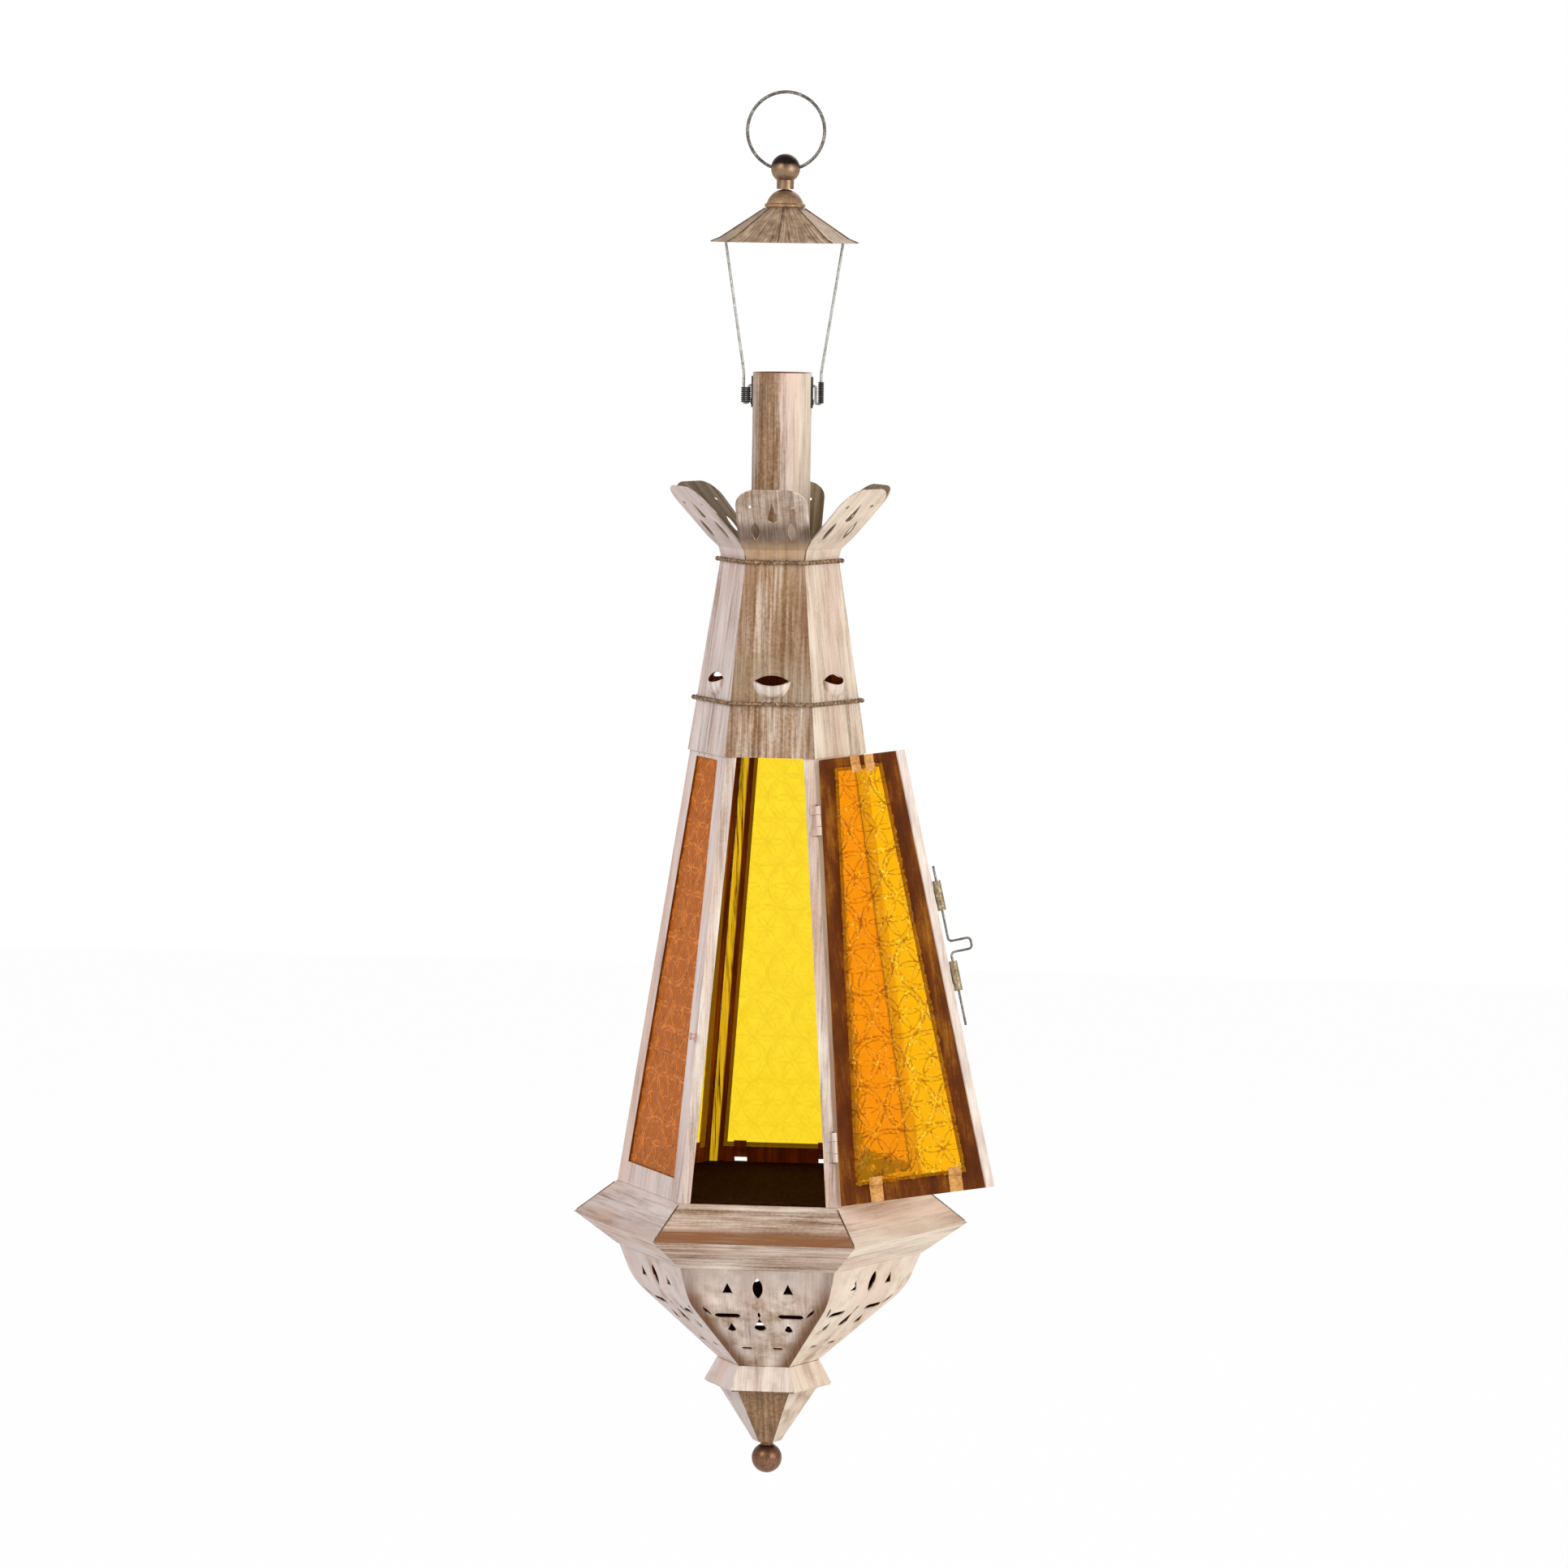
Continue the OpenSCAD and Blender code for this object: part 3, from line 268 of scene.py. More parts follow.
# How far below and above its level the noise leaves the copper bare or fully covered
COAT_BELOW, COAT_ABOVE = 0.23, 0.13


def whitewash(name, brush="down", wash=0.62, front=0.5, pink=0.5, grime=0.35, inside=BARE_INSIDE,
              stain_and_shade_bands=(), edges=0.0, span=(-0.5, -0.2, 0.2, 0.5), lip=None, soft=0.0, reflection_strip=None):
    """Chalk over copper.

    brush: the way of the streaks, "down" a side, "along" it, or "upright" on a tube
    wash: how much chalk is left
    front: how much darker the front and back sheets are painted, as painted shade
    pink, grime: how much blush and how many dark streaks of grime they have; the streaks are stronger
    on the front and back sheets, as painted shade
    inside: the tones of the bare inner face
    stain_and_shade_bands: bands of colour, each with its low, high, fade, amount and tone: the brim's
    rusted line, the chimney's soot, browner and smudged bands, an olive band on the hood, and the
    bowl's grey band under the brim, which is painted shadow
    edges: how brown a sheet is along its slanted edges
    span: which way a sheet faces to be in front
    lip: foot height and distance, top height and distance of the slope that vents stand out from;
    where the vents' lips stand out, a painted highlight lightens them
    soft: how far streaks give way to clouds
    reflection_strip: width of the strip by the corners where the inner face carries a painted
    reflection of the glass beside it, which also glows
    """
    paint = Paint(name, Specular_IOR_Level=0.14, Emission_Strength=0.55 if reflection_strip else 0.0)
    along, out, side, z = six_sided(paint)
    if brush == "down":
        streak_at = paint.vector(along + side, side, z * 0.035)
        broad_at = paint.vector(along + side, side * 3, z * 0.16)
    elif brush == "along":
        streak_at = paint.vector(out, z, along * 0.035 + side)
        broad_at = paint.vector(out + side, z, along * 0.2 + side)
    else:
        x, y, _ = paint.parts(paint.place())
        streak_at = paint.vector(x, y, z * 0.04)
        broad_at = paint.vector(x, y, z * 0.2)
    fine = paint.noise(streak_at, 1500, 4, 0.62)
    middle = paint.noise(streak_at, 560, 3, 0.55)
    broad = paint.noise(broad_at, 130, 3, 0.5)
    grain = paint.noise(paint.place(), 700, 3, 0.6)
    cloud = paint.noise(paint.place(), 60, 3, 0.55)
    patch = paint.noise(paint.place(), 150, 3, 0.5)
    nx, ny, _ = paint.parts(paint.facing())
    ahead = nx.between(span[0], span[1]) * (1 - nx.between(span[2], span[3]))
    streaks = fine * 0.38 + middle * 0.38 + broad * 0.32
    clouds = patch * 0.6 + cloud * 0.48
    # Painted shade: less chalk on the sheets that face the front and the back makes them darker
    coat = streaks * (1 - soft) + clouds * soft + grain * 0.08 + cloud * 0.12 - ahead * (front * 0.3)
    level = 0.64 + (0.5 - wash) * 0.34
    coat = coat.between(level - COAT_BELOW, level + COAT_ABOVE)
    copper = ramp(paint, COPPER, middle * 0.6 + grain * 0.4)
    chalk = ramp(paint, CHALK, broad * 0.75 + fine * 0.25)
    # Painted light: sheets that face left get lilac chalk, and sheets that face right a lighter
    # peach, as the lamps on both sides light them
    chalk = paint.blend((0 - nx).between(0.15, 0.6) * 0.65, chalk, LILAC)
    chalk = paint.blend(nx.between(0.15, 0.6) * 0.65, chalk, PEACH)
    blush = paint.noise(broad_at, 70, 2, 0.5).between(0.46, 0.64) * (0.2 + 0.5 * pink)
    colour = paint.blend(coat, copper, paint.blend(blush, chalk, linear(218, 184, 166)))

    # Dark streaks of grime, stronger on the front and back sheets as painted shade
    dark = paint.noise(streak_at, 900, 4, 0.66) * 0.58 + cloud * 0.47
    dark = dark.between(0.62 - grime * 0.14, 0.78 - grime * 0.10)
    colour = paint.blend(dark * (0.2 + 0.45 * ahead), colour, UMBER)
    if edges:
        near = (abs(along) - out * half_side).between(-9 * MM, -1 * MM)
        near = near * ahead * (0.4 + 1.2 * fine) * edges
        colour = paint.blend(near, colour, linear(118, 82, 58))
    # Bands of colour across the sheets, stronger on the front and back sheets as painted shade; the
    # bowl's band is a painted shadow under the brim
    for low, high, fade, amount, tone in stain_and_shade_bands:
        band = z.between(low - fade, low) * (1 - z.between(high, high + fade))
        streaky = 0.5 + 2.4 * (middle * 0.4 + fine * 0.6 - 0.4)
        ragged = band * (0.35 + 0.65 * ahead) * streaky * amount
        colour = paint.blend(ragged.between(0.05, 1.1), colour, tone)
    # Painted highlight: the vents' raised lips are lighter
    if lip:
        foot_z, foot_out, top_z, top_out = lip
        slope = (top_out - foot_out) / (top_z - foot_z)
        bulge = out - z * slope - (foot_out - foot_z * slope)
        bulge = bulge.between(0.6 * MM, 1.6 * MM) * (0.25 + 1.2 * (middle - 0.3))
        colour = paint.blend(bulge, colour, linear(238, 226, 218))
    if inside:
        x, y, _ = paint.parts(paint.place())
        inward = 1 - (nx * x + ny * y).between(-2 * MM, 0.5 * MM)
        colour = paint.blend(inward, colour, ramp(paint, inside, middle * 0.5 + broad * 0.5))
    # Painted reflection of the amber glass: a glinting golden strip by the corners of the inner face,
    # which also glows
    if reflection_strip:
        corner_slope = (GLASS_TOP_R - GLASS_FOOT_R) / 2 / (GLASS_Z - FOOT_Z)
        corner_x = GLASS_FOOT_R / 2 + (z - FOOT_Z) * corner_slope
        strip = 1 - (corner_x - abs(x)).between(reflection_strip - 0.6 * MM, reflection_strip + 0.2 * MM)
        glint = (fine * 0.5 + middle * 0.5).between(0.38, 0.54) * strip * inward
        colour = paint.blend(glint, colour, REFLECTED_AMBER)
        paint.to("Emission Color", paint.blend(glint, (0.0, 0.0, 0.0), REFLECTED_AMBER))
    paint.to("Base Color", colour)
    paint.to("Roughness", 0.62 - 0.12 * coat + 0.25 * grain - 0.08)
    paint.to("Metallic", (1 - coat) * 0.15)
    paint.bump(fine * 0.5 + grain * 0.3 + coat * 0.5, 0.22, 0.2 * MM)
    return paint.material


# %% [markdown]
# ## Which sheet gets which brushing
# Most sheets are brushed from top to bottom, but the brim and the fascia lengthwise. The bowl keeps
# the most of its whitewash, the hood and the cone the least. The sheets that face the front and the
# back are painted darker as painted shade, the cone's and the chimney's most. The hood and the petals
# are browner where they meet, the bowl's top is darkened as a painted shadow under the brim, and the
# brim has a rusty line near its edge.

# %% Dress the sheets
def dress(material, *names):
    """Give CAD pieces a finish."""
    for name in names:
        slots = nodes[name].material_slots
        if not slots:
            nodes[name].data.materials.append(material)
        for slot in slots:
            slot.material = material


def starting(prefix):
    """The CAD pieces whose names start so."""
    return [name for name in nodes if name.startswith(prefix)]


GOLD_BROWN, RUST, SOOT = linear(182, 146, 106), linear(138, 92, 58), linear(116, 78, 58)
OLIVE, SMUDGE, SHADE = linear(146, 128, 98), linear(96, 78, 68), linear(186, 172, 164)
BOWL_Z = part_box("gore_front")[1][2]
INSIDE_CROWN = (0.3, linear(66, 50, 36)), (0.5, linear(120, 100, 74)), (0.7, linear(170, 150, 120))
# Height and distance from the middle of the hood's foot and of its top
HOOD_LIP = (GLASS_Z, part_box("hood")[1][1], DECK_Z, 25.7 * MM * flat_share)
CHIMNEY_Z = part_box("chimney")[1][2]

hood_finish = whitewash(
    "hood_whitewash", wash=0.62, front=0.62, pink=0.55, grime=0.62, edges=0.35, lip=HOOD_LIP,
    stain_and_shade_bands=((DECK_Z - 6 * MM, DECK_Z, 30 * MM, 0.5, GOLD_BROWN),
          (GLASS_Z + 28 * MM, GLASS_Z + 40 * MM, 12 * MM, 0.6, OLIVE)))
panel_finish = whitewash("panel_whitewash", wash=0.70, front=0.1, pink=0.9, grime=0.36)
hinge_finish = whitewash("hinge_whitewash", wash=0.70, front=0.1, pink=0.9, inside=None)
# The back panel's inner face carries a painted reflection of the glass, which glows
back_panel_finish = whitewash("back_panel_whitewash", wash=0.70, pink=0.9, reflection_strip=4.4 * MM)
petal_finish = whitewash(
    "petal_whitewash", wash=0.74, front=0.46, pink=0.1, grime=0.95, inside=INSIDE_CROWN, soft=0.45,
    stain_and_shade_bands=((DECK_Z + 9 * MM, DECK_Z + 12 * MM, 9 * MM, 1.0, SMUDGE),
          (DECK_Z - 2 * MM, DECK_Z + 4 * MM, 8 * MM, 0.9, GOLD_BROWN)))
# The bowl's grey band at its top is a painted shadow under the brim
bowl_finish = whitewash(
    "bowl_whitewash", wash=0.78, front=0.32, pink=0.3, grime=0.5, edges=1.0, soft=0.7,
    stain_and_shade_bands=((BOWL_Z - 4 * MM, BOWL_Z, 18 * MM, 0.8, SHADE),))
collar_finish = whitewash("collar_whitewash", wash=0.76, front=0.2, pink=0.8, grime=0.34, soft=0.4)
cone_finish = whitewash("cone_whitewash", wash=0.64, front=1.1, pink=0.9, grime=1.1, soft=0.7)
brim_finish = whitewash(
    "brim_whitewash", brush="along", wash=0.66, front=0.36, pink=0.9, grime=0.6,
    stain_and_shade_bands=((BRIM_EDGE_Z - 1 * MM, BRIM_EDGE_Z + 2.4 * MM, 5 * MM, 1.3, RUST),))
fascia_finish = whitewash(
    "fascia_whitewash", brush="along", wash=0.70, front=0.28, pink=0.9, grime=0.30)
chimney_finish = whitewash(
    "chimney_whitewash", brush="upright", wash=0.72, front=1.0, pink=0.9, grime=0.6,
    span=(-1.3, -0.6, -0.3, 0.35), stain_and_shade_bands=((DECK_Z, DECK_Z + 18 * MM, 20 * MM, 0.6, SOOT),))

dress(hood_finish, "hood", "top_deck")
dress(panel_finish, *starting("panel_"))
dress(back_panel_finish, "panel_back")
dress(hinge_finish, "door_hinge_leaves", "post_hinge_straps")
dress(bowl_finish, *starting("gore_"))
dress(collar_finish, "collar")
dress(cone_finish, "lower_cone")
dress(brim_finish, "brim")
dress(fascia_finish, "fascia")
dress(chimney_finish, "chimney")
print("sheets dressed")


# %% [markdown]
# ## The door's two faces
# The door stands open, so its inner face looks at the camera: that face was never
# whitewashed and is dark copper brown, while the outer face is like the panels. The
# side that a point belongs to is read from the direction its face looks in.

# %% Dress the door
door_out = (door_frame_matrix.to_3x3() @ Vector((0, 0, 1))).normalized()
door_up = (door_frame_matrix.to_3x3() @ Vector((0, 1, 0))).normalized()
door_across = door_up.cross(door_out)
# How far the hem reaches in from the side's edge, and the height in the door's frame
# below which only the tabs and the hem lie
HEM_REACH, TAB_LEVEL = 4.1 * MM, 0.69 * MM
TAB_TAN = (0.3, linear(150, 92, 36)), (0.5, linear(206, 150, 84)), (0.7, linear(236, 196, 140))
DOOR_INSIDE = (0.3, linear(58, 24, 6)), (0.5, linear(100, 48, 8)), (0.68, linear(160, 100, 26))


def reach_along(parts, axis):
    """How far a place, or a direction, reaches along an axis."""
    x, y, z = parts
    return x * axis.x + y * axis.y + z * axis.z


def door_whitewash():
    paint = Paint("door_whitewash", Specular_IOR_Level=0.12)
    place = paint.parts(paint.place())
    across = reach_along(place, door_across)
    up = reach_along(place, door_up)
    looks_out = reach_along(paint.parts(paint.facing()), door_out)
    streak_at = paint.vector(across, up * 0.05, 0.0)
    fine = paint.noise(streak_at, 1300, 4, 0.62)
    broad = paint.noise(paint.vector(across, up * 0.25, 0.3), 160, 3, 0.55)
    grain = paint.noise(paint.place(), 900, 3, 0.6)
    brown = ramp(paint, DOOR_INSIDE, broad * 0.6 + fine * 0.25 + grain * 0.15)
    cream = ramp(paint, CHALK, broad * 0.5 + fine * 0.5)
    tab_tan = ramp(paint, TAB_TAN, broad * 0.5 + grain * 0.5)
    # The folded hem shows its painted side, and the bent tabs are tan
    hem_from = door_frame_matrix @ Vector((-half_width(0) + HEM_REACH, 0, 0))
    hem_to = door_frame_matrix @ Vector((-half_width(glass_l) + HEM_REACH, glass_l, 0))
    edge = (hem_to - hem_from).normalized()
    past = edge.cross(door_out)
    if past.dot(door_frame_matrix.to_3x3() @ Vector((1, 0, 0))) > 0:
        past = -past
    offset = past.dot(hem_from)
    on_hem = (reach_along(place, past) - offset).between(-0.3 * MM, 0.2 * MM)
    tab_level = door_out.dot(door_frame_matrix @ Vector((0, 0, TAB_LEVEL)))
    depth = reach_along(place, door_out) - tab_level
    raised = (1 - depth.between(-0.1 * MM, 0.1 * MM)) * (1 - on_hem)
    painted = looks_out.between(0.3, 0.6).larger(on_hem)
    colour = paint.blend(raised, paint.blend(painted, brown, cream), tab_tan)
    paint.to("Base Color", colour)
    paint.to("Roughness", 0.5 + 0.3 * grain)
    paint.to("Metallic", (1 - painted) * 0.15)
    paint.bump(fine * 0.5 + grain * 0.5, 0.3, 0.2 * MM)
    return paint.material


dress(door_whitewash(), "door_frame")
print("door dressed")


# %% [markdown]
# ## Bronze, wire and iron
# The top ball, dome, cap and bead bands are bronzed, a warm brown that the noise makes lighter and
# darker, and the finial is redder copper. What faces up on the ball is darkened as a painted
# reflection, and a little on the dome and the finial. The wires are dull drawn steel, paler on the
# bail, the ears nearly black, and the latch's guide tubes olive-tan brass.
# The keeper is pinkish, and the floor nearly black, a dark red brown.

# %% Dress the fittings
USUAL_SPECKLE = 0.27


def bronze(name, dark, middle_tone, light, spokes=False, metallic=0.55, roughness=0.42,
           speckle=USUAL_SPECKLE, dark_top_reflection=0.0):
    """Metal from dark to light tones, 0 to 255. spokes draws its streaks from the middle outwards,
    speckle is how far the tones spread, and dark_top_reflection darkens what faces up, as a painted
    reflection."""
    paint = Paint(name, Specular_IOR_Level=0.5)
    at = paint.place()
    if spokes:
        x, y, _ = paint.parts(at)
        flat = paint.vector(x, y, 0.0)
        way = paint.node("ShaderNodeVectorMath", {"operation": "NORMALIZE"}, {0: flat}, "Vector")
        way_x, way_y, _ = paint.parts(way)
        reach = paint.node("ShaderNodeVectorMath", {"operation": "LENGTH"}, {0: flat}, "Value")
        at = paint.vector(way_x * 0.022, way_y * 0.022, reach * 0.06)
    lines = paint.noise(at, 1100, 4, 0.65)
    cloud = paint.noise(paint.place(), 260, 4, 0.6)
    tone = 0.5 + (lines * 0.62 + cloud * 0.38 - 0.5) * (speckle / USUAL_SPECKLE)
    # Painted reflection: what faces up is darkened
    if dark_top_reflection:
        _, _, nz = paint.parts(paint.facing())
        tone = tone - nz.between(-0.1, 0.9) * dark_top_reflection
    stops = (0.36, linear(*dark)), (0.5, linear(*middle_tone)), (0.63, linear(*light))
    paint.to("Base Color", ramp(paint, stops, tone))
    paint.to("Roughness", roughness - 0.12 + 0.3 * cloud)
    paint.to("Metallic", metallic)
    paint.bump(lines * 0.6 + cloud * 0.4, speckle, 0.12 * MM)
    return paint.material


cap_bronze = bronze("cap_bronze", (90, 64, 46), (160, 130, 102), (212, 186, 158),
                    spokes=True, metallic=0.25, roughness=0.5, speckle=0.24)
rib_bronze = bronze("rib_bronze", (58, 42, 32), (96, 74, 54), (136, 110, 84),
                    metallic=0.3, roughness=0.5)
dome_bronze = bronze("dome_bronze", (84, 58, 40), (164, 130, 98), (224, 192, 154),
                     metallic=0.6, speckle=0.12, dark_top_reflection=0.05)
ball_bronze = bronze("ball_bronze", (42, 26, 18), (152, 124, 98), (210, 184, 156),
                     metallic=0.85, roughness=0.34, speckle=0.06, dark_top_reflection=0.32)
finial_copper = bronze("finial_copper", (48, 28, 18), (132, 94, 72), (206, 168, 138),
                       metallic=0.92, roughness=0.36, speckle=0.08, dark_top_reflection=0.06)
bead_bronze = bronze("bead_bronze", (66, 50, 38), (126, 98, 70), (196, 164, 128), metallic=0.4)
drawn_wire = bronze("drawn_wire", (74, 70, 66), (118, 112, 106), (170, 164, 156),
                    metallic=0.8, roughness=0.36)
pale_wire = bronze("pale_wire", (136, 132, 126), (176, 172, 166), (214, 210, 204),
                   metallic=0.6, roughness=0.4)
black_iron = bronze("black_iron", (24, 18, 16), (46, 38, 34), (84, 72, 62),
                    metallic=0.3, roughness=0.5)
tube_brass = bronze("tube_brass", (104, 88, 62), (150, 130, 98), (206, 190, 160), metallic=0.5)
keeper_pink = bronze("keeper_pink", (130, 92, 84), (184, 146, 136), (220, 190, 178), metallic=0.2)
dark_floor = bronze("dark_floor", (14, 3, 2), (34, 9, 5), (64, 24, 10), metallic=0.0, roughness=0.9)
dark_floor.node_tree.nodes["Principled BSDF"].inputs["Specular IOR Level"].default_value = 0.03

dress(cap_bronze, "rain_cap")
dress(dome_bronze, "cap_dome")
dress(ball_bronze, "top_ball")
dress(finial_copper, "finial_ball")
dress(bead_bronze, "upper_bead_band", "lower_bead_band")
dress(drawn_wire, "hanging_ring", "latch_bolt", "hinge_pins", "shank_nut", "finial_nut")
dress(black_iron, "ear_left", "ear_right")
dress(tube_brass, "latch_guide_upper", "latch_guide_lower")
dress(dark_floor, "floor_plate")
dress(keeper_pink, "keeper")
print("fittings dressed")


# %% [markdown]
# ## Amber glass with a raised pattern
# Such panes are cut from a rolled sheet, whose roller presses circles, flowers and
# scrolls into one face. A grid is added at the pane's widest, the pattern is written
# into a vertex group, a Displace modifier raises it, slanted cuts trim the pane, and
# Solidify gives it its thickness. Cutting after raising keeps the pattern undistorted,
# as a glass cutter would.

# %% Glass finish
def amber(name, tint, line_share, clear=1.0, roughness=0.06, ior=1.3, glow=0.0, broken=0.0,
          glint=None, shine=0.3):
    """Rolled glass. line_share scales its tint on the raised lines, which are deeper, or paler on the
    shaded pane. glow is painted light: a little light of its own in the glass's colour, which stands
    for the light that rolled glass scatters. broken is how far the lines fade in places, and glint
    the tone of small bits on them: painted highlights on the door's pane, and dark bits on the shaded
    one."""
    paint = Paint(name, Transmission_Weight=clear, IOR=ior, Emission_Strength=glow,
                  Specular_IOR_Level=shine)
    ripple = paint.noise(paint.place(), 210, 3, 0.5)
    seed = paint.noise(paint.place(), 1500, 2, 0.5)
    raised = paint.node("ShaderNodeAttribute", {"attribute_name": "pattern_height"}, {}, "Fac")
    deep = tuple(c * share for c, share in zip(tint, (0.98, 0.92, 0.8)))
    line = tuple(c * share for c, share in zip(tint, line_share))
    plain = paint.blend(ripple.between(0.35, 0.7), tint, deep)
    fading = paint.noise(paint.place(), 260, 2, 0.5).between(0.4, 0.6)
    colour = paint.blend(raised.between(0.1, 0.7) * (1 - broken + broken * fading), plain, line)
    # Painted highlights: small bright bits on the raised lines of the door's pane; on the shaded pane
    # the bits are dark
    if glint:
        spark = paint.noise(paint.place(), 760, 3, 0.6).between(0.52, 0.62)
        spark = spark * raised.between(0.02, 0.3)
        colour = paint.blend(spark * ripple.between(0.42, 0.56), colour, glint)
    paint.to("Base Color", colour)
    # The glass glows a little in its own colour, painted light for the light that rolled glass
    # scatters
    paint.to("Emission Color", colour)
    paint.to("Roughness", roughness + 0.05 * seed)
    paint.bump(ripple * 0.7 + seed * 0.3, 0.12, 0.3 * MM)
    return paint.material


door_glass = amber("door_glass", (0.74, 0.375, 0.0005), (0.50, 0.34, 0.3),
                   ior=1.2, glow=0.2, broken=0.6, glint=(0.92, 0.72, 0.10), shine=0.1)
side_glass = amber("side_glass", (0.92, 0.68, 0.026), (0.93, 0.86, 0.7),
                   ior=1.15, glow=0.05, broken=0.5)
# A shaded copy of the side glass for the front-left pane, darker, less clear and rougher, as painted
# shade
shaded_glass = amber("shaded_glass", (0.54, 0.155, 0.02), (1.7, 1.9, 2.2), clear=0.35,
                     roughness=0.3, glow=0.03, broken=0.8, glint=(0.26, 0.09, 0.03), shine=0.12)

# %% Model a pane
MOTIF = 23 * MM
LINE = 0.5 * MM
CIRCLE_R, INNER_R, FLORET_R = 0.485 * MOTIF, 0.40 * MOTIF, 0.38 * MOTIF
SCALLOP_R, SCALLOP_WAVE = 0.445 * MOTIF, 0.02 * MOTIF
# How far the plain face lies inside the pane's outer face, which leaves room for the relief
RELIEF_ROOM = 0.5 * MM


def line(distance, width):
    """Height of a rounded line, 1 in its middle."""
    return max(0.0, 1 - (distance / width) ** 2)


def motif_height(u, v):
    """Height of the rolled pattern, 0 to 1: rows of circles that nearly touch, each with a
    scalloped ring, a second circle and a floret of six arcs inside it."""
    best = 0.0
    row_step = MOTIF * math.sqrt(0.75)
    row = math.floor(v / row_step)
    for r in (row, row + 1):
        shift = 0.5 * MOTIF if r % 2 else 0.0
        col = round((u - shift) / MOTIF)
        for c in (col - 1, col, col + 1):
            x, y = u - shift - c * MOTIF, v - r * row_step
            d = math.hypot(x, y)
            if d > 0.56 * MOTIF:
                continue
            best = max(best, line(d - CIRCLE_R, LINE), 0.7 * line(d - INNER_R, LINE))
            if d < FLORET_R:
                for turn in range(6):
                    to_x = x - FLORET_R * math.cos(math.radians(60 * turn))
                    to_y = y - FLORET_R * math.sin(math.radians(60 * turn))
                    best = max(best, 0.8 * line(math.hypot(to_x, to_y) - FLORET_R, LINE))
            else:
                scallop = SCALLOP_R + SCALLOP_WAVE * math.cos(24 * math.atan2(y, x))
                best = max(best, 0.5 * line(d - scallop, LINE))
    return best


def trim_edge(edge_point, outward):
    """Cut the mesh in edit mode along a plane and drop what lies outwards of it."""
    bpy.ops.mesh.select_all(action="SELECT")
    bpy.ops.mesh.bisect(plane_co=edge_point, plane_no=outward, clear_outer=True)


def make_pane(name, left_in, right_in, low, high, shift, cell, relief):
    """A pane in its side's own frame, with its plain outer face at Z = 0. left_in and
    right_in are how far it starts inside the side's edges, cell the size of its grid."""
    wide, tall = 2 * half_width(low) - left_in - right_in, high - low
    centre = ((left_in - right_in) / 2, (low + high) / 2, 0)
    bpy.ops.object.select_all(action="DESELECT")
    bpy.ops.mesh.primitive_grid_add(x_subdivisions=round(wide / cell),
                                    y_subdivisions=round(tall / cell), size=1, location=centre)
    pane = bpy.context.object
    pane.name = name
    pane.scale = (wide + 2 * cell, tall, 1)
    bpy.ops.object.transform_apply(location=True, rotation=False, scale=True)
    heights = [motif_height(v.co.x + shift[0], v.co.y + shift[1]) for v in pane.data.vertices]
    raised = pane.vertex_groups.new(name="pattern")
    for number, height in enumerate(heights):
        if height > 0.02:
            raised.add([number], height, "REPLACE")
    pane.data.attributes.new("pattern_height", "FLOAT", "POINT").data.foreach_set("value", heights)
    lift = pane.modifiers.new("lift", "DISPLACE")
    lift.vertex_group = "pattern"
    lift.strength = relief
    lift.mid_level = 0
    bpy.ops.object.modifier_apply(modifier="lift")
    bpy.ops.object.mode_set(mode="EDIT")
    for side, inset in ((-1, left_in), (1, right_in)):
        outward = Vector((side * math.cos(post_lean), math.sin(post_lean), 0))
        trim_edge((side * (half_width(0) - inset), 0, 0), outward)
    bpy.ops.object.mode_set(mode="OBJECT")
    wall = pane.modifiers.new("wall", "SOLIDIFY")
    wall.thickness = PANE_T - RELIEF_ROOM
    wall.offset = -1
    bpy.ops.object.modifier_apply(modifier="wall")
    bpy.ops.object.shade_smooth_by_angle(angle=math.radians(40))
    return pane


def take_up(piece):
    """Select one piece alone and make it the active one."""
    bpy.ops.object.select_all(action="DESELECT")
    piece.select_set(True)
    bpy.context.view_layer.objects.active = piece


def stand(piece, matrix):
    """Put a piece in its place and leave its origin at the lantern's."""
    piece.matrix_world = matrix
    take_up(piece)
    bpy.ops.object.transform_apply(location=True, rotation=True, scale=True)


# %% Glaze the five sides and the door
STILE_W, RAIL_H, PANE_LAP = 8.2 * MM, 9.7 * MM, 1.4 * MM
SEAT = 0.04 * MM
# Size of the grid and height of the relief. The grid is finer and the relief deeper on
# the one fixed pane whose outer face the camera sees
NEAR_CELL, FAR_CELL = 0.6 * MM, 0.8 * MM
NEAR_RELIEF, FAR_RELIEF = 0.3 * MM, 0.12 * MM
inset = STILE_W - PANE_LAP
pane_top = glass_l - STILE_W / 4 + PANE_LAP
side_names = {1: "front_right", 2: "back_right", 3: "back", 4: "back_left", 5: "front_left"}
for k, side_name in side_names.items():
    near = side_name == "front_left"
    pane = make_pane("glass_" + side_name, inset, inset, RAIL_H - PANE_LAP, pane_top,
                     (k * 5.3 * MM, k * 3.7 * MM), NEAR_CELL if near else FAR_CELL,
                     NEAR_RELIEF if near else FAR_RELIEF)
    # The front-left pane takes the shaded glass, darker as painted shade
    pane.data.materials.append(shaded_glass if near else side_glass)
    stand(pane, side_frame(k) @ Matrix.Translation((0, 0, -SHEET - SEAT - RELIEF_ROOM)))
    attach(pane, "lantern")
    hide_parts("pane_" + side_name)

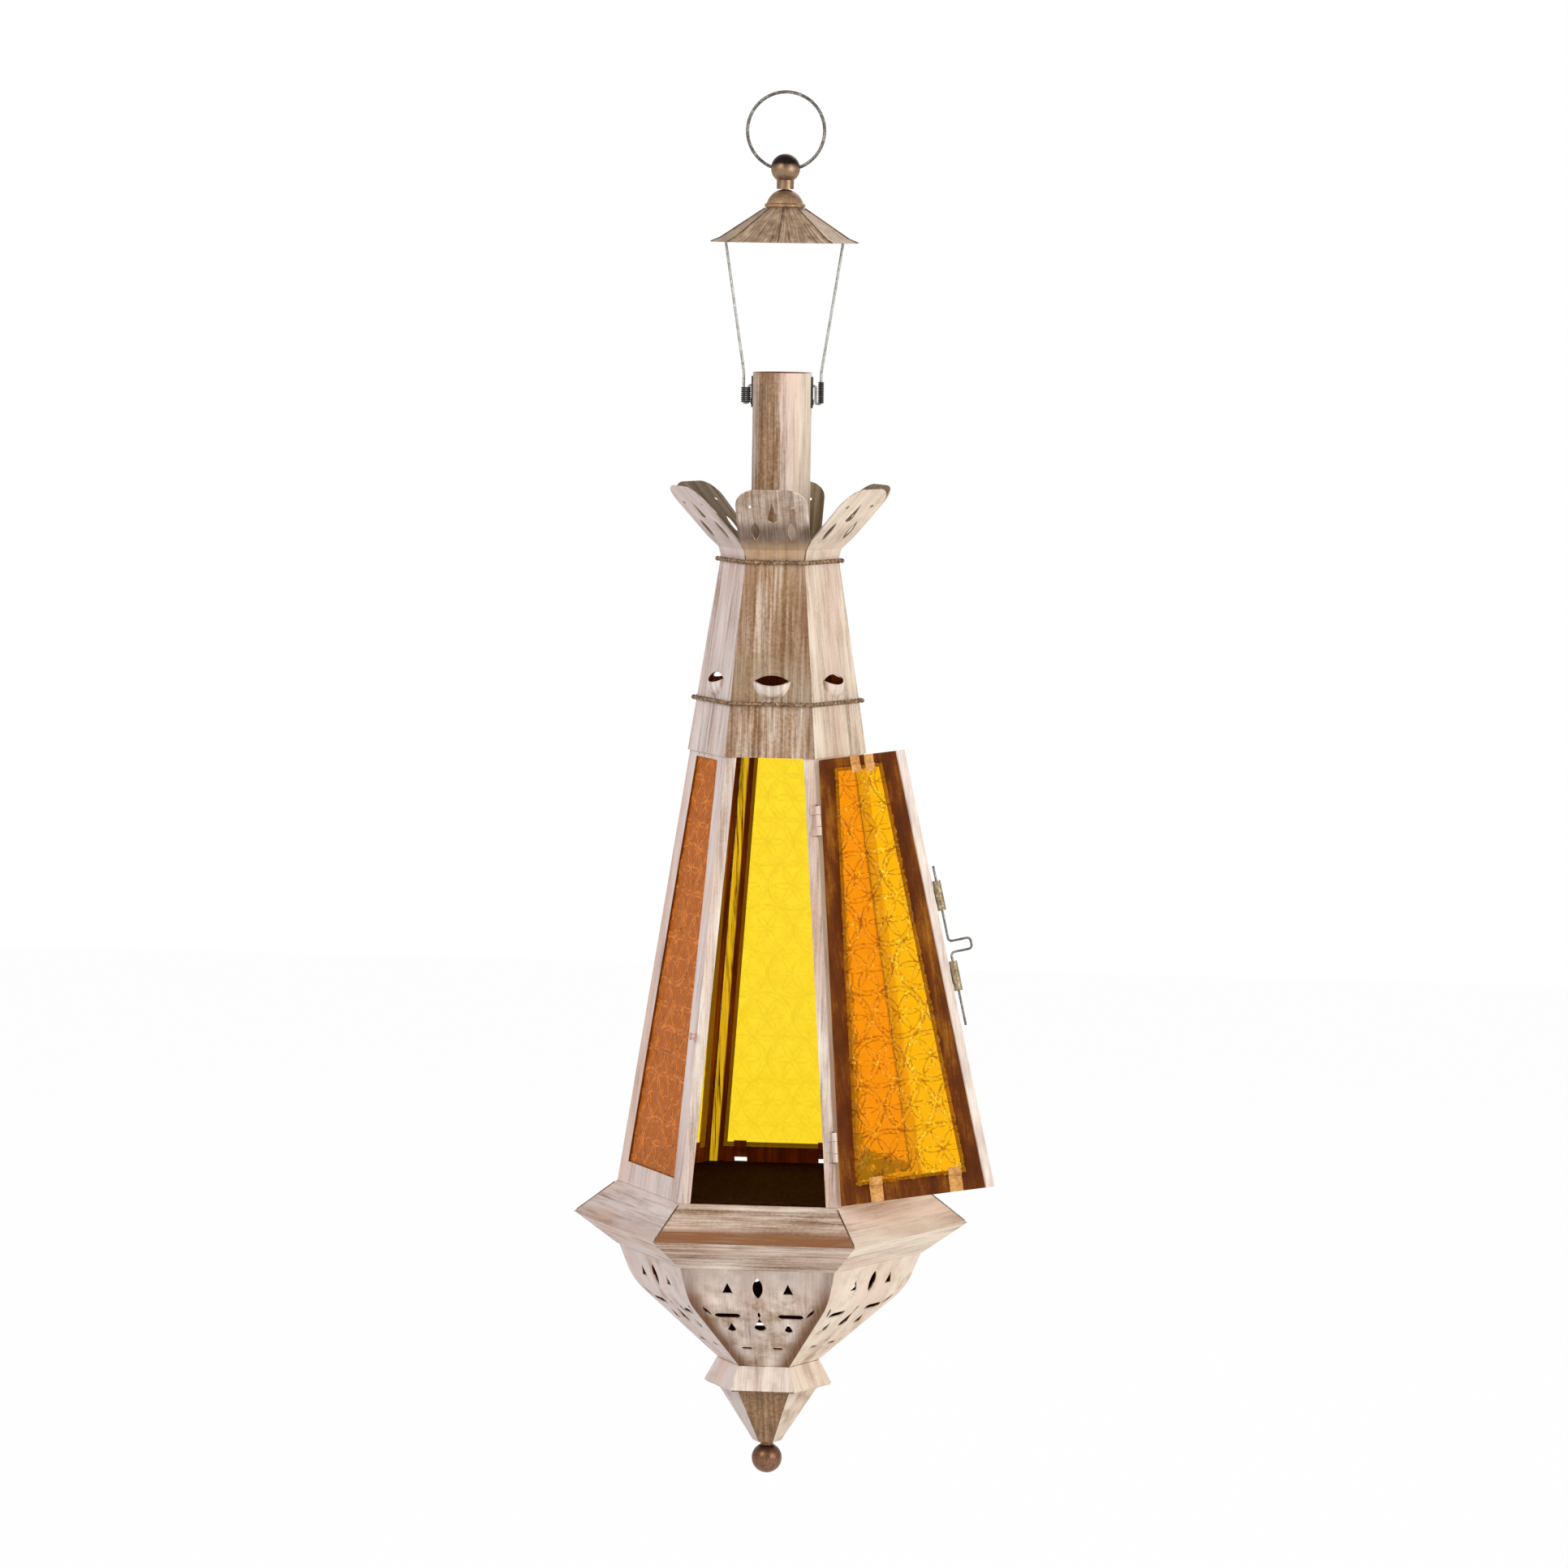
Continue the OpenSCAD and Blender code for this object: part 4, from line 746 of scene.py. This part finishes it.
DOOR_FREE, DOOR_HINGE, DOOR_RAIL, DOOR_HEAD = 12.6 * MM, 8.8 * MM, 9.3 * MM, 5.8 * MM
DOOR_GAP = 0.8 * MM
DOOR_CELL, DOOR_RELIEF = 0.5 * MM, 0.25 * MM
door_in = SHEET + SEAT + SHEET / 2
pane = make_pane("glass_door", DOOR_FREE - PANE_LAP, DOOR_HINGE - PANE_LAP,
                 DOOR_GAP + DOOR_RAIL - PANE_LAP, glass_l - DOOR_GAP - DOOR_HEAD + PANE_LAP,
                 (2 * MM, 0), DOOR_CELL, DOOR_RELIEF)
pane.data.materials.append(door_glass)
stand(pane, door_frame_matrix @ Matrix.Translation((0, 0, door_in - SEAT - RELIEF_ROOM)))
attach(pane, "door")
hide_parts("door_pane")
triangles = sum(len(p.vertices) - 2 for p in pane.data.polygons)
print("panes:", len(side_names) + 1, "triangles in the door's:", triangles)


# %% [markdown]
# ## Solder lines and ribs
# Where two sheets of the brim or of the glazed part meet at a corner, a thin dark line
# of solder shows. One line is a slender cylinder with rounded ends, laid along the
# corner. No line runs down the two front corners, where the door hinges and latches.
# The same rods are the ribs on the cap's folds.

# %% Solder the corners
def rod_between(name, start, end, radius):
    """A slender round rod with its edges rounded off."""
    bpy.ops.object.select_all(action="DESELECT")
    bpy.ops.mesh.primitive_cylinder_add(vertices=10, radius=radius, depth=(end - start).length)
    rod = bpy.context.object
    rod.name = name
    bpy.ops.object.mode_set(mode="EDIT")
    bpy.ops.mesh.select_all(action="SELECT")
    bpy.ops.mesh.subdivide(number_cuts=2)
    bpy.ops.object.mode_set(mode="OBJECT")
    round_off = rod.modifiers.new("round", "BEVEL")
    round_off.width = radius * 0.35
    round_off.segments = 2
    round_off.limit_method = "ANGLE"
    bpy.ops.object.modifier_apply(modifier="round")
    turn = (end - start).to_track_quat("Z", "Y").to_matrix().to_4x4()
    stand(rod, Matrix.Translation((start + end) / 2) @ turn)
    bpy.ops.object.shade_smooth_by_angle(angle=math.radians(50))
    return rod


SEAM_R, CORNER_R, RIB_R = 0.35 * MM, 0.4 * MM, 0.28 * MM
BRIM_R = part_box("brim")[1][0]
solder = bronze("solder", (60, 44, 34), (104, 78, 60), (156, 128, 104), metallic=0.35, roughness=0.5)
for k in range(6):
    way = Vector((math.cos(math.radians(60 * k)), math.sin(math.radians(60 * k)), 0))
    top = way * (GLASS_FOOT_R + 1 * MM) + Vector((0, 0, FOOT_Z - 0.75 * MM))
    edge = way * (BRIM_R - 1.2 * MM) + Vector((0, 0, BRIM_EDGE_Z + 0.75 * MM))
    seams = [rod_between("solder_brim_%d" % k, top, edge, SEAM_R)]
    if k < 4:
        low = way * (GLASS_FOOT_R - 0.7 * MM) + Vector((0, 0, FOOT_Z + 0.5 * MM))
        high = way * (GLASS_TOP_R - 0.7 * MM) + Vector((0, 0, GLASS_Z - 0.5 * MM))
        seams.append(rod_between("solder_corner_%d" % k, low, high, CORNER_R))
    for seam in seams:
        seam.data.materials.append(solder)
        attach(seam, "lantern")
print("solder lines: 10")

# %% Folded ribs of the cap
cap_low, cap_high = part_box("rain_cap")
CAP_TOP = Vector((8.6 * MM, 0, cap_high[2]))
CAP_EAVE = Vector((28.0 * MM, 0, cap_low[2] + 1.85 * MM))
CAP_EDGE = Vector((31.8 * MM, 0, cap_low[2] + 0.3 * MM))
for k in range(8):
    way = Matrix.Rotation(math.radians(45 * k), 4, "Z")
    for part, start, end in (("roof", CAP_TOP, CAP_EAVE), ("eave", CAP_EAVE, CAP_EDGE)):
        rib = rod_between("cap_rib_%s_%d" % (part, k), way @ start, way @ end, RIB_R)
        rib.data.materials.append(rib_bronze)
        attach(rib, "canopy")
print("cap ribs: 8, each in two parts")


# %% [markdown]
# ## Petals and bail
# The real petals end nearly square, with rounded corners, and the bail's wire is bent
# inside the cap, where the bends don't show. The petals are made here from a flat
# outline with holes, and the bail from a wire along a route. They follow the CAD pieces,
# but the petals are squarer and a little longer, lean less and have their holes moved to
# suit, and the bail's upper bends are higher. The sheet is drawn in millimetres, and its
# frame makes it metres.

# %% Cut the petals
HOOD_TOP_R, FOOT_H, FOOT_LEAN = 25.7, 4.4, math.radians(14)
PETAL_W, PETAL_L, PETAL_ROUND, PETAL_LEAN = 31.0, 36.4, 9.5, math.radians(43.5)
EYE_D, DROP_W, LEAF_W = 2.1, 4.4, 3.4
SEAM = 0.05
ROUND_STEPS = 12


def arc(x, y, radius, start, stop, steps):
    """Points round a centre, between two angles in degrees."""
    turns = [math.radians(start + (stop - start) * n / steps) for n in range(steps + 1)]
    return [(x + radius * math.cos(a), y + radius * math.sin(a)) for a in turns]


def leaf_hole(x, y, wide, tall):
    """Two arcs that meet in a point above and below."""
    radius = (wide ** 2 + tall ** 2) / (4 * wide)
    half = math.degrees(math.asin(tall / 2 / radius))
    right = arc(x + wide / 2 - radius, y, radius, -half, half, 10)
    left = arc(x - wide / 2 + radius, y, radius, 180 - half, 180 + half, 10)
    return right[:-1] + left[:-1]


def drop_hole(x, y, wide, tall):
    """A round foot with a point above it."""
    return [(x, y + tall - wide / 2)] + arc(x, y, wide / 2, 160, 380, 18)


def to_mesh(name, curve):
    """Put a curve in the scene and turn it into a mesh."""
    piece = bpy.data.objects.new(name, curve)
    bpy.context.scene.collection.objects.link(piece)
    take_up(piece)
    bpy.ops.object.convert(target="MESH")
    return bpy.context.object


def cut_sheet(name, rings, thick):
    """A flat sheet round Z = 0: the first ring is its outline, the rest are its holes."""
    shape = bpy.data.curves.new(name, "CURVE")
    shape.dimensions, shape.fill_mode, shape.extrude = "2D", "BOTH", thick / 2
    for ring in rings:
        edge = shape.splines.new("POLY")
        edge.points.add(len(ring) - 1)
        edge.use_cyclic_u = True
        for point, (x, y) in zip(edge.points, ring):
            point.co = (x, y, 0, 1)
    cut = to_mesh(name, shape)
    bpy.ops.object.mode_set(mode="EDIT")
    bpy.ops.mesh.select_all(action="SELECT")
    bpy.ops.mesh.remove_doubles(threshold=0.001)
    bpy.ops.mesh.normals_make_consistent(inside=False)
    bpy.ops.object.mode_set(mode="OBJECT")
    return cut


def slope_frame(k, flat, z, lean):
    """A frame in millimetres on side k, flat from the middle and leaning outwards."""
    turn = Matrix.Rotation(math.radians(60 * k), 4, "Z")
    place = Matrix.Translation((0, -flat * MM, z))
    return turn @ place @ Matrix.Rotation(math.radians(90) + lean, 4, "X") @ Matrix.Scale(MM, 4)


thick = SHEET / MM
foot_flat = HOOD_TOP_R * flat_share
bend_flat = foot_flat + FOOT_H * math.sin(FOOT_LEAN)
bend_z = DECK_Z + FOOT_H * math.cos(FOOT_LEAN) * MM
foot_w = (foot_flat - thick) * (2 * half_side) - 2 * SEAM
bend_w = (bend_flat - thick) * (2 * half_side) - 2 * SEAM
spread_l = (PETAL_W - bend_w) / (math.sin(PETAL_LEAN) * (2 * half_side))
corner = PETAL_W / 2 - PETAL_ROUND
tongue = [(-bend_w / 2, -thick / 2), (bend_w / 2, -thick / 2), (PETAL_W / 2, spread_l)]
tongue += arc(corner, PETAL_L - PETAL_ROUND, PETAL_ROUND, 0, 90, ROUND_STEPS)
tongue += arc(-corner, PETAL_L - PETAL_ROUND, PETAL_ROUND, 90, 180, ROUND_STEPS)
tongue += [(-PETAL_W / 2, spread_l)]
holes = [drop_hole(0, PETAL_L - PETAL_W / 2 - EYE_D, DROP_W, PETAL_L / 3)]
for way in (-1, 1):
    holes.append(arc(way * PETAL_W / 3.4, PETAL_L - PETAL_W / 3, EYE_D / 2, 0, 345, 23))
    holes.append(leaf_hole(way * PETAL_W / 4, PETAL_L / 3.2, LEAF_W, PETAL_L / 3.2))
foot = [(-foot_w / 2, 0), (foot_w / 2, 0), (bend_w / 2, FOOT_H), (-bend_w / 2, FOOT_H)]
half_sheet = Matrix.Translation((0, 0, -thick / 2))

petal_names = ("petal_front", "petal_front_right", "petal_back_right",
               "petal_back", "petal_back_left", "petal_front_left")
for k, node_name in enumerate(petal_names):
    upper = cut_sheet("upper", [tongue] + holes, thick)
    stand(upper, slope_frame(k, bend_flat, bend_z, PETAL_LEAN) @ half_sheet)
    lower = cut_sheet("lower", [foot], thick)
    stand(lower, slope_frame(k, foot_flat, DECK_Z, FOOT_LEAN) @ half_sheet)
    upper.select_set(True)
    bpy.context.view_layer.objects.active = upper
    bpy.ops.object.join()
    upper.name = "crown_" + node_name
    upper.data.materials.append(petal_finish)
    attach(upper, "lantern")
    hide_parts(node_name)
print("petals:", len(petal_names))

# %% Bend the bail
WIRE_R, HOOK_H, END_H = 0.6 * MM, 7.6 * MM, 2.4 * MM
HOOK_X, ARM_X, EAR_Z = 14.55 * MM, 16.75 * MM, CHIMNEY_Z - 5.7 * MM
EYE_R, FLAT_X, BEND_X, END_X = 2.2 * MM, 8.2 * MM, 25.6 * MM, 10.1 * MM
EYE_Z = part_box("bail")[1][2] - WIRE_R
# The cap's roof falls 13 mm from its flat top at 8.4 to its eave at 28
ROOF_SLOPE = 13.0 / (28.0 - 8.4)


def rounded_route(points, radius):
    """The same route with a short curve in place of each corner."""
    points = [Vector(p) for p in points]
    route = [points[0]]
    for before, corner_at, after in zip(points, points[1:], points[2:]):
        back, ahead = before - corner_at, after - corner_at
        reach = min(radius, back.length / 2.1, ahead.length / 2.1)
        start = corner_at + back.normalized() * reach
        stop = corner_at + ahead.normalized() * reach
        for n in range(7):
            t = n / 6
            route.append(start * (1 - t) ** 2 + corner_at * 2 * t * (1 - t) + stop * t ** 2)
    return route + [points[-1]]


def bend_wire(name, points, radius):
    """A round wire along a route, with bends of 1 mm."""
    shape = bpy.data.curves.new(name, "CURVE")
    shape.dimensions, shape.bevel_depth, shape.bevel_resolution = "3D", radius / MM, 3
    shape.use_fill_caps = True
    thread = shape.splines.new("POLY")
    route = rounded_route(points, 1.0 * MM)
    thread.points.add(len(route) - 1)
    for point, place in zip(thread.points, route):
        point.co = (*(place / MM), 1)
    wire = to_mesh(name, shape)
    stand(wire, Matrix.Scale(MM, 4))
    bpy.ops.object.shade_smooth_by_angle(angle=math.radians(60))
    return wire


arms = []
upper_z = EYE_Z - (BEND_X - FLAT_X) * ROOF_SLOPE
under_cap = ((EYE_R, EYE_Z), (FLAT_X, EYE_Z), (BEND_X, upper_z), (ARM_X, CHIMNEY_Z))
hook = ((ARM_X, EAR_Z - HOOK_H), (HOOK_X, EAR_Z - HOOK_H), (HOOK_X, EAR_Z),
        (END_X, EAR_Z), (END_X, EAR_Z - END_H))
for way in (-1, 1):
    arms.append(bend_wire("bail_arm", [(way * x, 0, z) for x, z in under_cap + hook], WIRE_R))
bpy.ops.object.select_all(action="DESELECT")
bpy.ops.mesh.primitive_torus_add(major_radius=EYE_R, minor_radius=WIRE_R, major_segments=40,
                                 minor_segments=12, location=(0, 0, EYE_Z))
bail = bpy.context.object
bail.name = "bent_bail"
for arm in arms:
    arm.select_set(True)
bpy.ops.object.join()
bpy.ops.object.transform_apply(location=True, rotation=True, scale=True)
bpy.ops.object.shade_smooth_by_angle(angle=math.radians(60))
bail.data.materials.append(pale_wire)
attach(bail, "canopy")
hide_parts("bail")
print("bail bent")


# %% [markdown]
# ## Wire wound round the hooks
# Each end of the bail is hooked through its ear, and thin dark wire is wound round the
# hook. Each winding is a stack of small rings, pressed flat where it goes round both legs.

# %% Wind the hooks
WOUND_R, WOUND_WIRE_R = 0.95 * MM, 0.36 * MM


def winding(name, centre, reach, low, high):
    """Rings round a point, reaching that far in X, from low to high."""
    turns = round((high - low) / (1.9 * WOUND_WIRE_R))
    rings = []
    for turn_no in range(turns):
        z = low + (high - low) * turn_no / (turns - 1)
        bpy.ops.object.select_all(action="DESELECT")
        bpy.ops.mesh.primitive_torus_add(major_radius=WOUND_R, minor_radius=WOUND_WIRE_R,
                                         major_segments=28, minor_segments=10,
                                         location=(centre, 0, z))
        ring = bpy.context.object
        ring.scale = ((reach - WOUND_WIRE_R) / WOUND_R, 1, 1)
        rings.append(ring)
    for ring in rings:
        ring.select_set(True)
    bpy.ops.object.join()
    wound = bpy.context.object
    wound.name = name
    bpy.ops.object.transform_apply(location=True, rotation=True, scale=True)
    bpy.ops.object.shade_smooth_by_angle(angle=math.radians(60))
    wound.data.materials.append(black_iron)
    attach(wound, "canopy")


winding("winding_left", -(HOOK_X + ARM_X) / 2, 2.0 * MM, EAR_Z - 7 * MM, EAR_Z - 1.2 * MM)
winding("winding_right", ARM_X, 1.3 * MM, EAR_Z - 7 * MM, EAR_Z + 1.5 * MM)
print("windings: 2")


# %% [markdown]
# ## Camera
# The photograph was taken a little from the right and a little from above, and the
# lantern hangs about a degree out of plumb in it. The camera stands where lines read
# off the photograph put it, and a slight shift puts the lantern in its place.

# %% Camera
AZIMUTH, ELEVATION, DISTANCE, ROLL = 5.2, 5.88, 2.6, 0.84
MM_PER_PIXEL = 0.3524 * MM
FRAME_PX = 1932
SENSOR = 36
TARGET = Vector((0, 0, -0.3184))
TARGET_PX = (955.9, 1025.3)

az, el = math.radians(AZIMUTH), math.radians(ELEVATION)
back = Vector((math.sin(az) * math.cos(el), -math.cos(az) * math.cos(el), math.sin(el)))
camera = bpy.data.objects.new("camera", bpy.data.cameras.new("camera"))
bpy.context.scene.collection.objects.link(camera)
turn = back.to_track_quat("Z", "Y").to_matrix().to_4x4()
roll = Matrix.Rotation(math.radians(ROLL), 4, "Z")
camera.matrix_world = Matrix.Translation(TARGET + back * DISTANCE) @ turn @ roll
camera.data.sensor_width = SENSOR
camera.data.lens = SENSOR * DISTANCE / (MM_PER_PIXEL * FRAME_PX)
camera.data.shift_x = (FRAME_PX / 2 - TARGET_PX[0]) / FRAME_PX
camera.data.shift_y = (TARGET_PX[1] - FRAME_PX / 2) / FRAME_PX
camera.data.clip_end = 20
bpy.context.scene.camera = camera
print("lens", round(camera.data.lens, 1))


# %% [markdown]
# ## Floor, backdrop and light
# The lantern hangs in front of plain white. One sheet of pale paper is the floor and one
# the backdrop: both glow white to the camera and through the glass, and the floor still
# takes a little shadow. Large lamps on both sides and behind give a plain, even light.

# %% Studio
def glow(name, share):
    """Paper that looks white to the camera and through glass, and dimmer in reflections."""
    paint = Paint(name, Base_Color=(0.86, 0.855, 0.85, 1), Roughness=0.9)
    ray = paint.tree.nodes.new("ShaderNodeLightPath")
    direct, through, mirrored = (Value(paint, ray.outputs["Is %s Ray" % kind])
                                 for kind in ("Camera", "Transmission", "Glossy"))
    seen = direct.larger(through).larger(0.4 * mirrored)
    light = paint.node("ShaderNodeEmission", {}, {"Color": (1, 1, 1), "Strength": 1.0})
    plain_paper = Value(paint, paint.shader.outputs[0])
    mix = paint.node("ShaderNodeMixShader", {}, {0: seen * share, 1: plain_paper, 2: light})
    out = next(n for n in paint.tree.nodes if n.type == "OUTPUT_MATERIAL")
    paint.tree.links.new(mix.socket, out.inputs["Surface"])
    return paint.material


def paper(name, place, tilt, wide, deep, share):
    """A large sheet of glowing paper. share is how much of it glows."""
    bpy.ops.object.select_all(action="DESELECT")
    bpy.ops.mesh.primitive_plane_add(size=1, location=place, rotation=(math.radians(tilt), 0, 0))
    sheet = bpy.context.object
    sheet.name = name
    sheet.scale = (wide, deep, 1)
    sheet.data.materials.append(glow(name + "_paper", share))
    return sheet


floor = paper("floor", (0, 0, -0.78), 0, 9, 9, 0.97)
backdrop = paper("backdrop", (0, 3.2, 2.0), 90, 12, 8, 1.0)

# The sky is dimmer on the lantern than where the camera sees it
SKY_ON_LANTERN, SKY_SEEN = 0.62, 1.0
world = bpy.data.worlds.new("studio")
bpy.context.scene.world = world
world.use_nodes = True
sky = world.node_tree
background = sky.nodes["Background"]
background.inputs["Color"].default_value = (1, 1, 1, 1)
path = sky.nodes.new("ShaderNodeLightPath")
most = sky.nodes.new("ShaderNodeMath")
most.operation = "MAXIMUM"
level = sky.nodes.new("ShaderNodeMapRange")
sky.links.new(path.outputs["Is Camera Ray"], most.inputs[0])
sky.links.new(path.outputs["Is Transmission Ray"], most.inputs[1])
sky.links.new(most.outputs[0], level.inputs[0])
level.inputs[3].default_value = SKY_ON_LANTERN
level.inputs[4].default_value = SKY_SEEN
sky.links.new(level.outputs[0], background.inputs["Strength"])


LAMP_AIM = Vector((0, 0, -0.3))


def lamp(name, place, size, watts):
    """A square lamp that looks at the middle of the lantern."""
    light = bpy.data.lights.new(name, "AREA")
    light.shape = "SQUARE"
    light.size = size
    light.energy = watts
    holder = bpy.data.objects.new(name, light)
    bpy.context.scene.collection.objects.link(holder)
    holder.location = place
    holder.rotation_euler = (Vector(place) - LAMP_AIM).to_track_quat("Z", "Y").to_euler()


lamp("key", (-1.1, -1.5, 0.7), 1.0, 16)
lamp("fill", (1.6, -1.2, 0.1), 1.2, 17)
lamp("rim", (0.3, 1.6, 0.8), 1.2, 8)
view = bpy.context.scene.view_settings
view.view_transform = "Standard"
print("studio ready")

# %% Boxes as plain numbers
def plain(box):
    return [[float(v) for v in corner] for corner in box]
